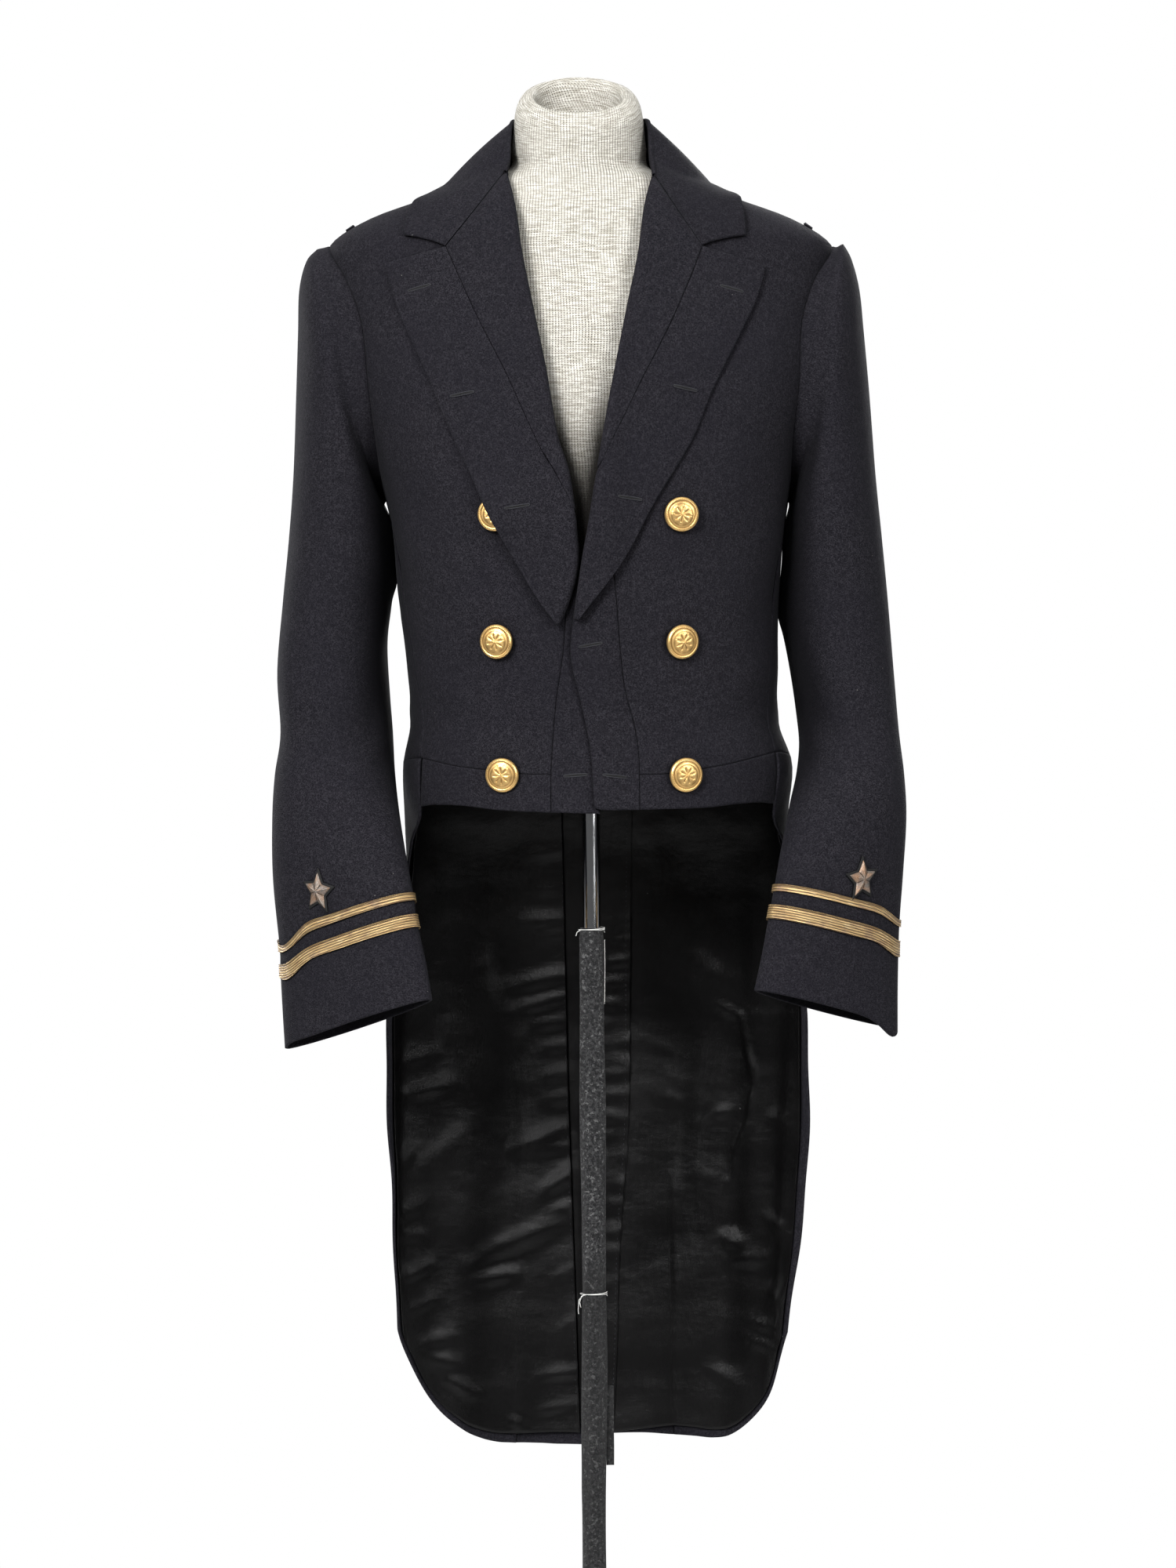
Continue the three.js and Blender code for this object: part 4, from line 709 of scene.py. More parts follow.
def leaf_grid(side, inner, outer, z_in, z_out, count, ripple=0.0):
    x_in, x_out = inner(z_in)[:, None], outer(z_out)[:, None]
    z_in, z_out = z_in[:, None], z_out[:, None]
    width = np.maximum(np.abs(x_out - x_in), 2.0)
    u = leaf_columns(width, count)
    x, z = mix(x_in, x_out, u), mix(z_in, z_out, u)
    lift = rolled(x, z, side) + ripple * np.sin(z * 0.024 + 0.8) * u ** 2
    return front_point(x, z, lift)


def seam_levels(side):
    return mix(SEAM_BOTTOM[side], NOTCH[side][1], steps(60))


def lapel_grid(side):
    bottom, low, top = LEAF_BOTTOM[side], SEAM_BOTTOM[side], NOTCH[side][1]
    z_in = np.concatenate([mix(bottom, low, steps(34))[:-1], seam_levels(side)])
    z_out = mix(bottom - 1, PEAK_Z[side], (z_in - bottom) / (top - bottom))

    def inner(z):
        return mix(roll_edge[side](z), leaf_seam[side](z), smooth(low - 14, low, z))

    return leaf_grid(side, inner, leaf_outer[side], z_in, z_out, 22, 0.8)


def facing_grid(side):
    z_out = seam_levels(side)
    low, top = SEAM_BOTTOM[side], NOTCH[side][1]
    z_in = mix(low - 6, GORGE[side][1], (z_out - low) / (top - low))
    return leaf_grid(side, roll_edge[side], leaf_seam[side], z_in, z_out, 12)


# Collar: stand, crest and leaf, by station from the right tip round to the left one
collar_rows = table("at foldX foldY foldZ edgeX edgeY edgeZ stand", [
    [0, -61.5, -46, 1419, -109.5, -70, 1361, 2],
    [0.85, -61.8, -41, 1428.5, -133.3, -61.5, 1364.6, 7],
    [1, -61.8, -40, 1430, -137.8, -60, 1365.5, 8],
    [1.15, -61.8, -38.5, 1432.5, -137.4, -57, 1368.5, 9.5],
    [2, -61.5, -28, 1447, -131, -38, 1384, 18],
    [3, -60, -12, 1461, -121, -14, 1402, 28],
    [4.5, -54, 20, 1468, -113, 30, 1411, 34],
    [6, -36, 46, 1471, -78, 72, 1412, 38],
    [7.5, -7, 56, 1472, -6, 88, 1410, 40],
    [9, 23, 46, 1471, 66, 72, 1412, 38],
    [10.5, 41, 20, 1468, 101, 30, 1411, 34],
    [12, 47.5, -12, 1462, 107, -14, 1399, 28],
    [13, 48.5, -28, 1447, 112, -38, 1384, 18],
    [13.85, 49, -38.5, 1432.5, 115.6, -57, 1366.5, 9.5],
    [14, 49, -40, 1430, 116.4, -60, 1364, 8],
    [14.15, 49, -41, 1428.5, 112.2, -61.5, 1363.3, 7],
    [15, 48.7, -46, 1417, 88, -70, 1361, 2],
])
COLLAR_END = 15.0
COAT_TOP = 1432.0


# How far a point lies outside the coat, as a share of its section
def outside(p):
    row = coat_section(p[..., 2])
    half = (row.right - row.left) / 2
    depth = np.where(p[..., 1] < row.mid, row.mid - row.front, row.back - row.mid)
    x = np.abs(p[..., 0] - (row.left + row.right) / 2) / half
    y = np.abs(p[..., 1] - row.mid) / depth
    return (x ** row.power + y ** row.power) ** (1 / row.power) - 1


def outside_slope(p):
    shifts = 0.5 * np.eye(3)
    return np.stack([outside(p + shift) - outside(p - shift) for shift in shifts], -1)


# Points pushed out until they clear the coat by some lift
def clear_of(p, lift):
    p = p.copy()
    for _ in range(12):
        slope = outside_slope(p)
        size = np.linalg.norm(slope, axis=-1)
        distance = outside(p) / size
        push = np.where(distance > lift - 0.05, 0.0, lift - distance)
        p = p + slope / size[..., None] * push[..., None]
    return p


def gorge_point(side, u):
    z = mix(GORGE[side][1], NOTCH[side][1], u)
    x = mix(GORGE[side][0], NOTCH[side][0], u)
    return front_point(x + SIGN[side] * 0.1, z + 0.1, leaf_lift(x, z, side))


def collar_grid():
    near_tips = [0.03, 0.07, COLLAR_END - 0.07, COLLAR_END - 0.03]
    at = np.unique(np.concatenate([steps(120) * COLLAR_END, near_tips]))
    row = collar_rows(at)
    fold = np.stack([row.foldX, row.foldY, row.foldZ], -1)[:, None]
    edge = np.stack([row.edgeX, row.edgeY, row.edgeZ], -1)[:, None]
    inward = edge - fold
    inward[..., 2] = 0
    inward = unit(inward)
    u = stops(22, 0.02)[None, :, None]
    leaf = mix(fold, edge, u)
    leaf[..., 2] += 3 * np.sin(np.pi * u[..., 0])
    from_end = np.minimum(at, COLLAR_END - at)[:, None, None]
    left = (at < COLLAR_END / 2)[:, None, None]
    gorge = np.where(left, gorge_point("r", u[..., 0]), gorge_point("l", u[..., 0]))
    free = smooth(COAT_TOP - 8, COAT_TOP + 8, leaf[..., 2:])
    leaf = mix(clear_of(leaf, mix(5.6, 3.1, u[..., 0]) + 0 * row.at[:, None]), leaf, free)
    leaf = mix(leaf, gorge, 1 - smooth(0, 0.9, from_end))
    crest = leaf[:, :1]
    stand = row.stand[:, None, None]
    up = np.array([0.0, 0.0, 1.0])
    spread = smooth(16, 30, stand)
    foot, waist, bend = mix(-1.2, 4.6, spread), mix(-2.2, 0.8, spread), 0.45
    inner = []
    for share in (1.0, 0.82, 0.63, bend, 0.25, 0.1):
        low, high = (share - bend) / (1 - bend), share / bend
        out = mix(waist, foot, low) if share > bend else mix(-2.4, waist, high)
        inner.append(crest + inward * out - up * np.maximum(stand * share, 3.0 * share))
    over = ((-2.3, 0.4), (-1.4, 1.0), (-0.5, 1.3), (0.6, 1.0))
    top = [crest + inward * out + up * rise for out, rise in over]
    return np.concatenate([*inner, *top, leaf[:, 1:]], 1)


# Sleeves: rings from the head to the cuff, each with its outer and inner end and its depths
sleeve_names = "at outX outY outZ inX inY inZ front back rise"
sleeve_rings = {
    "r": table(sleeve_names, [
        [1, -211, 10, 1365.5, -165, 10, 1166, 68, 68, 0],
        [2, -219.5, 10, 1356, -164, 10, 1160, 70, 70, 0],
        [3, -225, 10, 1334, -160, 10, 1151, 71, 71, 0],
        [4, -226, 10, 1300, -156, 10, 1140, 71, 71, 0],
        [5, -227.5, 10, 1250, -152.8, 10, 1126, 69, 68, 0],
        [6, -229.5, 10, 1190, -151.2, 9, 1108, 66, 64, 0],
        [7, -233, 9, 1140, -153.5, 8, 1086, 62, 60, 0],
        [8, -237.5, 8, 1092, -156, 6, 1058, 58, 55, 0],
        [9, -241.5, 8, 1036, -154, 0, 1016, 54, 48, 0],
        [10, -238, 6, 988, -151.5, -10, 980, 49, 40, 1],
        [11, -241, 2, 955, -150, -26, 958, 45, 34, 2],
        [12, -241.5, -4, 920, -147, -46, 934, 41, 29, 3],
        [13, -240.5, -14, 872, -141, -70, 900, 34, 25, 3],
        [14, -236, -24, 822, -133.5, -84, 863, 27, 23, 2],
        [15, -235.5, -28, 805, -131, -88, 846, 25, 22, 1.6],
        [16, -234, -33, 775, -124, -94, 816, 23, 21, 1.3],
        [17, -232, -38, 745, -118.5, -99, 786, 22, 20, 1],
    ]),
    "l": table(sleeve_names, [
        [1, 198, 10, 1366, 161, 10, 1166, 68, 68, 0],
        [2, 205.5, 10, 1356, 162, 10, 1160, 70, 70, 0],
        [3, 211.5, 10, 1334, 160, 10, 1151, 71, 71, 0],
        [4, 215, 10, 1300, 156.6, 10, 1140, 71, 71, 0],
        [5, 219.5, 10, 1250, 153.6, 10, 1126, 69, 68, 0],
        [6, 224, 10, 1190, 151.6, 9, 1108, 66, 64, 0],
        [7, 229, 9, 1140, 150.8, 8, 1086, 62, 60, 0],
        [8, 234, 8, 1086, 154, 6, 1058, 58, 55, 0],
        [9, 238, 8, 1028, 161, 0, 1016, 54, 48, 0],
        [10, 240, 4, 988, 164.5, -12, 985, 49, 36, 1],
        [11, 241, -2, 955, 162.5, -34, 960, 45, 29, 2],
        [12, 241.5, -10, 920, 156, -56, 934, 41, 25, 3],
        [13, 239.5, -20, 876, 148.5, -74, 900, 34, 23, 3],
        [14, 238, -28, 842, 142.5, -84, 870, 27, 22, 2],
        [15, 237.5, -31, 824, 139, -88, 853, 25, 21, 1.6],
        [16, 237, -35, 790, 132.5, -94, 820, 23, 20, 1.3],
        [17, 237, -38, 761, 126.5, -99, 793, 22, 20, 1],
    ]),
}
# Degrees of the two seams, and the last station
HINDARM, FOREARM, CUFF = 12.0, 190.0, 17.0
# Soft folds of a sleeve, by station along it and degrees round it, half width in stations and height
SLEEVE_FOLDS = [
    (0.6, 60, 3.0, 76, 0.55, 2.2), (0.8, 100, 2.6, 118, 0.5, -1.4), (0.7, 140, 3.4, 150, 0.6, 2.0),
    (2.2, 88, 5.0, 96, 0.6, -1.2), (4.2, 128, 7.2, 116, 0.6, 1.3), (7.6, 150, 9.2, 100, 0.45, 1.6),
    (8.4, 170, 10.2, 126, 0.4, -1.3), (9.6, 176, 11.0, 110, 0.45, 1.6), (10.6, 60, 12.4, 92, 0.5, 1.0),
    (9.0, 40, 10.6, 74, 0.45, 1.1), (0.6, 210, 3.2, 226, 0.55, 1.8), (1.0, 280, 3.2, 272, 0.55, -1.4),
    (0.8, 330, 3.6, 316, 0.6, 2.0), (7.8, 210, 9.4, 252, 0.5, -1.4), (9.0, 220, 10.6, 268, 0.45, 1.5),
    (10.4, 300, 12.0, 268, 0.5, 1.0), (5.0, 300, 7.4, 290, 0.6, 1.2),
]


def sleeve_ring(side, at, turn, lift):
    row = sleeve_rings[side](at)
    out = np.stack([row.outX, row.outY, row.outZ], -1)
    inn = np.stack([row.inX, row.inY, row.inZ], -1)
    middle, across = (out + inn) / 2, (out - inn) / 2
    level = across.copy()
    level[..., 2] = 0
    level = unit(level)
    forward = np.stack([level[..., 1], -level[..., 0], 0 * level[..., 0]], -1) * SIGN[side]
    c, s = np.cos(np.radians(turn)), np.sin(np.radians(turn))
    depth = np.where(s > 0, row.front, row.back)
    widen = 1 + lift / np.linalg.norm(across, axis=-1)
    p = middle + across * (c * widen)[..., None] + forward * (s * (depth + lift))[..., None]
    p[..., 2] += s * row.rise
    return p


def sleeve_point(side, at, turn, lift=0.0):
    at, turn = np.broadcast_arrays(np.asarray(at, float), np.asarray(turn, float))
    rad = np.radians(turn)
    z = ARMHOLE.z + ARMHOLE.half * np.cos(rad)
    y = ARMHOLE.y - np.where(np.sin(rad) > 0, ARMHOLE.front, ARMHOLE.back) * np.sin(rad)
    seat = coat(angle_at_y(z, y, side), z, mix(1.1, -2.6, np.clip(-at, 0, 1)))
    share = np.clip(at, 0, 1)[..., None]
    ring = sleeve_ring(side, np.maximum(at, 1.0), turn, lift)
    return mix(seat, ring, share)


# How far the sleeve's inner side swells towards the body, by station
body_side = {
    "r": line([[0.6, 0], [1.6, 4.6], [3, 5.4], [4, 3.9], [5, 2.2], [6, 2.6], [6.8, 0], [17, 0]]),
    "l": line([[0.6, 0], [1.6, 4.8], [3, 5.6], [4, 3.6], [5, 2.3], [6, 2.8], [7, 4.2], [7.8, 1.0],
               [8.6, 0], [17, 0]]),
}
# How full the head is, and a usual length of a station, against which the folds are measured
HEAD_FILL = {"r": 0.4, "l": 4.4}
STATION = 34


def sleeve_lift(side, at, turn):
    near = smooth(0.05, 0.8, at) * smooth(13.4, 12.4, at)
    height = body_side[side](at) * bell(turn - 180, 34)
    height = height + HEAD_FILL[side] * bell(at - 0.9, 0.9) * bell(np.mod(turn + 180, 360) - 200, 44)
    for a0, t0, a1, t1, width, rise in SLEEVE_FOLDS:
        row = (a0 * STATION, t0, a1 * STATION, t1, width * STATION, rise)
        height = height + folds(at * STATION, turn, [row])
    return height * near


# How far the cuff's outer corner hangs down, in stations, and the degrees that it is at
CUFF_DROP = {"r": -0.05, "l": 0.30}
CUFF_CORNER = 34.0
# How far the sleeve leans on the body under the arm
ARM_LEAN = {"r": 10.0, "l": 7.4}


def sleeve_grid(side, piece):
    start, end = (HINDARM, FOREARM) if piece == "top" else (FOREARM, HINDARM + 360)
    head, rest = np.linspace(0.12, 1.0, 10), np.linspace(1.12, CUFF - 0.05, 110)
    at = np.concatenate([[-1.0, -0.4, 0.0], head, rest, [CUFF]])[:, None]
    turn = mix(start, end, stops(40, 0.008))[None, :]
    drop = CUFF_DROP[side] * ring_bell(turn, CUFF_CORNER, 21)
    along = sleeve_point(side, CUFF, turn) - sleeve_point(side, CUFF - 1, turn)
    p = sleeve_point(side, at, turn, sleeve_lift(side, at, np.mod(turn, 360)))
    p[..., 0] -= SIGN[side] * ARM_LEAN[side] * bell(at - 2.5, 1.9) * bell(np.mod(turn, 360) - 180, 46)
    return p + along * (drop * smooth(CUFF - 1.2, CUFF, at))[..., None]


# Where the lace dips on the sleeve: degrees round it, half width in degrees and drop in stations
LACE_BENDS = {
    "r": [(44, 20, 0.21), (0, 24, -0.08), (74, 14, -0.05)],
    "l": [(38, 24, 0.13), (66, 18, -0.05)],
}
# Width, station, length of a station there, and ribs
LACES = {
    "wide": Row(width=13.4, centre=15.0, station=30.0, ribs=7),
    "narrow": Row(width=8.6, centre=14.0, station=36.0, ribs=4),
}


def lace_grid(side, kind):
    lace = LACES[kind]
    half, centre, ribs = lace.width / 2 / lace.station, lace.centre, lace.ribs
    v = np.linspace(-1, 1, ribs * 6 + 1)[:, None]
    turn = round_ring(180)
    profile = 0.16 * np.abs(np.sin(np.pi * ribs * (v + 1) / 2)) + 0.3 * bell(np.abs(v) - 0.93, 0.07)
    loose = 0.25 * np.sin(np.radians(turn) * 7 + centre) + 0.15 * np.sin(np.radians(turn) * 17)
    bend = sum(rise * ring_bell(turn, place, wide) for place, wide, rise in LACE_BENDS[side])
    return sleeve_point(side, centre + half * v + bend, turn, 1.35 + profile + 0.5 * loose)


# Mesh building: a closed wall on a grid, with a rounded rim
RIM = 0.28
MIDDLE = np.array([5.0, 12.0, 0.0])


def normals_of(p, closed):
    du = (np.roll(p, -1, 1) - np.roll(p, 1, 1)) if closed else np.gradient(p, axis=1)
    return unit(np.cross(du, np.gradient(p, axis=0)))


# Length along the rows or columns of a grid, from its first place
def arc(p, axis):
    length = np.linalg.norm(np.diff(p, axis=axis), axis=-1)
    total = np.cumsum(length, axis=axis)
    pad = [(0, 0), (0, 0)]
    pad[axis] = (1, 0)
    return np.pad(total, pad)


# Piece from points in millimetres, faces and the cloth's own flat places, with its material, hiding the
# nodes that it replaces
def make(name, points, faces, uv, material, slot, replaces=()):
    mesh = bpy.data.meshes.new(name)
    mesh.from_pydata((np.asarray(points) * MM).tolist(), [], faces)
    mesh.update()
    layer = mesh.uv_layers.new(name="cloth")
    index = np.empty(len(mesh.loops), np.int32)
    mesh.loops.foreach_get("vertex_index", index)
    layer.data.foreach_set("uv", (np.asarray(uv)[index] * MM).astype(np.float32).ravel())
    mesh.polygons.foreach_set("use_smooth", np.full(len(mesh.polygons), True))
    mesh.materials.append(material)
    piece = bpy.data.objects.new(name, mesh)
    bpy.context.scene.collection.objects.link(piece)
    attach(piece, "root")
    if replaces:
        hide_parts(*replaces)
    return piece


def wall(p, thickness, closed, flip):
    rows, cols = p.shape[:2]
    n = normals_of(p, closed)
    if flip is None:
        away = p - MIDDLE
        away[..., 2] = 0
        flip = float((n * away).sum()) < 0
    if flip:
        n = -n
    uv = np.stack([arc(p, 1), arc(p, 0)], -1)
    uv[..., 0] -= uv[:, cols // 2:cols // 2 + 1, 0]
    outer = p.copy()

    def pull(a, b):
        return a + unit(b - a) * RIM

    if not closed:
        outer[:, 0], outer[:, -1] = pull(p[:, 0], p[:, 1]), pull(p[:, -1], p[:, -2])
    outer[0], outer[-1] = pull(outer[0], outer[1]), pull(outer[-1], outer[-2])
    inner = outer - n * thickness
    grid = np.arange(rows * cols).reshape(rows, cols)
    last = cols if closed else cols - 1
    a, b = grid[:-1, :last], np.roll(grid, -1, 1)[:-1, :last]
    d, c = grid[1:, :last], np.roll(grid, -1, 1)[1:, :last]
    quads = np.stack([a, b, c, d], -1).reshape(-1, 4)
    count = rows * cols
    faces = [quads, quads[:, ::-1] + count]
    points = [outer.reshape(-1, 3), inner.reshape(-1, 3)]
    uvs = [uv.reshape(-1, 2), uv.reshape(-1, 2)]
    if closed:
        loops = [grid[0], grid[-1][::-1]]
    else:
        loops = [np.concatenate([grid[0], grid[1:, -1], grid[-1, -2::-1], grid[-2:0:-1, 0]])]
    base = 2 * count
    flat_p, flat_n, flat_uv = p.reshape(-1, 3), n.reshape(-1, 3), uv.reshape(-1, 2)
    for ring in loops:
        middle = np.arange(len(ring)) + base
        base += len(ring)
        points.append(flat_p[ring] - flat_n[ring] * thickness / 2)
        uvs.append(flat_uv[ring])
        nxt, mid_nxt = np.roll(ring, -1), np.roll(middle, -1)
        faces.append(np.stack([nxt, ring, middle, mid_nxt], -1))
        faces.append(np.stack([mid_nxt, middle, ring + count, nxt + count], -1))
    faces = np.concatenate(faces)
    if flip:
        faces = faces[:, ::-1]
    return np.concatenate(points), faces.tolist(), np.concatenate(uvs)


# Width, length and area of a piece laid flat, in metres
def cut_of(p):
    width = float(arc(p, 1)[:, -1].max()) * MM
    length = float(arc(p, 0)[-1].max()) * MM
    a = p[:-1, :-1]
    area = float(np.linalg.norm(np.cross(p[:-1, 1:] - a, p[1:, :-1] - a), axis=-1).sum()) * MM * MM
    return width, length, area


def cloth(node, p, thickness, material, slot, closed=False, flip=None):
    piece = make(node + "_cloth", *wall(p, thickness, closed, flip=flip), material, slot, (node,))
    ring = np.concatenate([p, p[:, :1]], 1) if closed else p
    width, length, area = cut_of(ring)
    area = min(max(area, 0.301 * width * length), width * length)
    return piece


# Node graphs
class Graph:
    def __init__(self, name):
        self.material = bpy.data.materials.new(name)
        self.material.use_nodes = True
        self.tree = self.material.node_tree
        self.shader = self.tree.nodes["Principled BSDF"]

    def put(self, socket, value):
        if isinstance(value, bpy.types.NodeSocket):
            self.tree.links.new(value, socket)
        elif value is not None:
            socket.default_value = value

    def node(self, kind, inputs=None, **props):
        made = self.tree.nodes.new(kind)
        for key, value in props.items():
            setattr(made, key, value)
        for key, value in (inputs or {}).items():
            self.put(made.inputs[key], value)
        return made

    def set(self, **values):
        for key, value in values.items():
            self.put(self.shader.inputs[key.replace("_", " ")], value)

    def uv(self):
        return self.node("ShaderNodeTexCoord").outputs["UV"]

    def place(self):
        return self.node("ShaderNodeTexCoord").outputs["Object"]

    def scaled(self, vector, x, y, z=1.0):
        inputs = {0: vector, 1: (x, y, z)}
        return self.node("ShaderNodeVectorMath", inputs, operation="MULTIPLY").outputs[0]

    def split(self, vector):
        made = self.node("ShaderNodeSeparateXYZ", {0: vector})
        return made.outputs[0], made.outputs[1], made.outputs[2]

    def math(self, op, a, b=None):
        made = self.node("ShaderNodeMath", operation=op)
        for k, value in enumerate((a, b)):
            if value is not None:
                self.put(made.inputs[k], value)
        return made.outputs[0]

    def noise(self, vector, scale, detail, rough):
        inputs = {"Vector": vector, "Scale": scale, "Detail": detail, "Roughness": rough}
        return self.node("ShaderNodeTexNoise", inputs).outputs["Fac"]

    def ramp(self, value, low, high, to_low=0.0, to_high=1.0):
        inputs = {"Value": value, "From Min": low, "From Max": high, "To Min": to_low, "To Max": to_high}
        return self.node("ShaderNodeMapRange", inputs, interpolation_type="SMOOTHSTEP").outputs["Result"]

    def mix(self, factor, a, b):
        made = self.node("ShaderNodeMix", data_type="RGBA")
        self.put(made.inputs[0], factor)
        self.put(made.inputs[6], (*a, 1) if isinstance(a, tuple) else a)
        self.put(made.inputs[7], (*b, 1) if isinstance(b, tuple) else b)
        return made.outputs[2]

    def bump(self, height, distance, strength):
        inputs = {"Height": height, "Distance": distance, "Strength": strength}
        return self.node("ShaderNodeBump", inputs).outputs[0]

    def wave(self, value, period):
        return self.math("SINE", self.math("MULTIPLY", value, 2 * math.pi / period))

    def shift(self, vector, x, y, z):
        return self.node("ShaderNodeVectorMath", {0: vector, 1: (x, y, z)}, operation="ADD").outputs[0]

    # Ambient occlusion of a place; the materials paint shade with it
    def hollow(self, reach, **props):
        return self.node("ShaderNodeAmbientOcclusion", {"Distance": reach}, **props).outputs["AO"]


# Lint: small pale specks, far apart
def lint(g, spread, size, seed=0.0):
    shifted = g.shift(g.place(), seed, seed, seed)
    cells = g.node("ShaderNodeTexVoronoi", {"Vector": shifted, "Scale": spread})
    return g.ramp(cells.outputs["Distance"], size, size * 0.55)


def wool_material():
    g = Graph("navy_wool")
    u, v, _ = g.split(g.uv())
    nap = g.noise(g.place(), 900.0, 4.0, 0.7)
    felt = g.noise(g.place(), 300.0, 3.0, 0.6)
    cloud = g.noise(g.place(), 17.0, 3.0, 0.5)
    crease_shade = g.hollow(0.13, samples=6)
    slant = g.math("ADD", u, g.math("MULTIPLY", v, 0.8))
    twill = g.wave(slant, 0.0011)
    tone = g.mix(g.ramp(nap, 0.36, 0.64), (0.0058, 0.0055, 0.0077), (0.0318, 0.0300, 0.0366))
    tone = g.mix(g.ramp(felt, 0.38, 0.64, 0.0, 0.52), tone, (0.0080, 0.0076, 0.0103))
    tone = g.mix(g.ramp(cloud, 0.35, 0.7, 0.0, 0.30), tone, (0.0110, 0.0105, 0.0150))
    # Painted shade: the wool darkens where other parts of the coat close round it, as in creases, along
    # the lapel edges, in the armholes and between sleeve and body
    tone = g.mix(g.ramp(crease_shade, 0.94, 0.30, 0.0, 0.82), tone, (0.0022, 0.0020, 0.0028))
    tone = g.mix(g.math("MULTIPLY", lint(g, 46.0, 0.020), 0.55), tone, (0.30, 0.29, 0.28))
    height = g.math("ADD", g.math("MULTIPLY", nap, 0.8), g.math("MULTIPLY", felt, 0.8))
    height = g.math("ADD", height, g.math("MULTIPLY", twill, 0.14))
    g.set(Base_Color=tone, Roughness=0.9, Normal=g.bump(height, 0.00045, 0.8), Sheen_Weight=0.03,
          Sheen_Roughness=0.5, Sheen_Tint=(0.70, 0.72, 0.80, 1), Specular_IOR_Level=0.08)
    return g.material


def satin_material():
    g = Graph("black_satin")
    u, _, _ = g.split(g.uv())
    weave = g.wave(u, 0.0007)
    crumple = g.noise(g.scaled(g.place(), 22.0, 22.0, 40.0), 1.0, 3.0, 0.5)
    soft = g.noise(g.scaled(g.place(), 8.0, 8.0, 11.0), 1.0, 2.0, 0.5)
    fine = g.noise(g.scaled(g.uv(), 2600.0, 700.0), 1.0, 2.0, 0.5)
    tone = g.mix(soft, (0.0013, 0.0012, 0.0014), (0.0028, 0.0026, 0.0027))
    tone = g.mix(g.math("MULTIPLY", lint(g, 30.0, 0.018, 3.0), 0.3), tone, (0.25, 0.25, 0.25))
    height = g.math("ADD", g.math("MULTIPLY", soft, 2.0), g.math("MULTIPLY", crumple, 0.55))
    height = g.math("ADD", height, g.math("MULTIPLY", weave, 0.02))
    height = g.math("ADD", height, g.math("MULTIPLY", fine, 0.07))
    g.set(Base_Color=tone, Roughness=g.ramp(soft, 0.3, 0.7, 0.29, 0.38),
          Normal=g.bump(height, 0.0034, 0.85), Specular_IOR_Level=0.235)
    return g.material


# Knit grid of the form's cover: fine ribs up and rows across, with heathered yarn
def jersey_material():
    g = Graph("form_jersey")
    u, v, _ = g.split(g.uv())
    pull = g.noise(g.place(), 16.0, 2.0, 0.5)
    sag = g.noise(g.scaled(g.place(), 30.0, 30.0, 60.0), 1.0, 2.0, 0.5)
    across = g.math("ADD", v, g.math("MULTIPLY", sag, 0.007))
    along = g.math("ADD", u, g.math("MULTIPLY", pull, 0.006))
    rib = g.wave(along, 0.0023)
    row = g.wave(across, 0.00175)
    gap = g.math("MULTIPLY", g.ramp(rib, 0.05, 0.9), g.ramp(row, -0.35, 0.9))
    channel = g.ramp(rib, 0.3, 1.0, 0.0, 0.34)
    heather = g.noise(g.scaled(g.uv(), 70.0, 760.0), 1.0, 4.0, 0.7)
    fleck = g.noise(g.place(), 560.0, 3.0, 0.75)
    worn = g.noise(g.place(), 12.0, 3.0, 0.6)
    yarn = g.mix(g.ramp(heather, 0.38, 0.62), (0.43, 0.405, 0.345), (0.80, 0.78, 0.715))
    yarn = g.mix(g.ramp(fleck, 0.50, 0.70, 0.0, 0.6), yarn, (0.32, 0.29, 0.24))
    yarn = g.mix(channel, yarn, (0.34, 0.31, 0.26))
    depth = g.math("MULTIPLY", gap, g.ramp(worn, 0.35, 0.65, 0.55, 1.0))
    tone = g.mix(depth, yarn, (0.055, 0.047, 0.038))
    # Painted shade: the knit darkens where the coat closes round the form, fully below 1.205 m and at 0.22
    # of that above 1.275 m, most at the bottom of the V between the lapels
    hollow = g.hollow(0.07)
    _, _, z = g.split(g.place())
    shade = g.math("MULTIPLY", g.ramp(hollow, 0.95, 0.50), g.ramp(z, 1.275, 1.205, 0.22, 1.0))
    tone = g.mix(shade, tone, (0.008, 0.007, 0.006))
    height = g.math("SUBTRACT", g.math("MULTIPLY", fleck, 0.8), gap)
    g.set(Base_Color=tone, Roughness=0.95, Normal=g.bump(height, 0.0006, 0.8), Sheen_Weight=0.1,
          Specular_IOR_Level=0.15)
    return g.material


def chrome_material():
    g = Graph("chrome")
    worn = g.noise(g.scaled(g.place(), 300.0, 300.0, 14.0), 1.0, 4.0, 0.6)
    g.set(Base_Color=(0.74, 0.75, 0.77, 1), Metallic=1.0, Roughness=g.ramp(worn, 0.3, 0.75, 0.05, 0.16),
          Normal=g.bump(worn, 0.00006, 0.4))
    return g.material


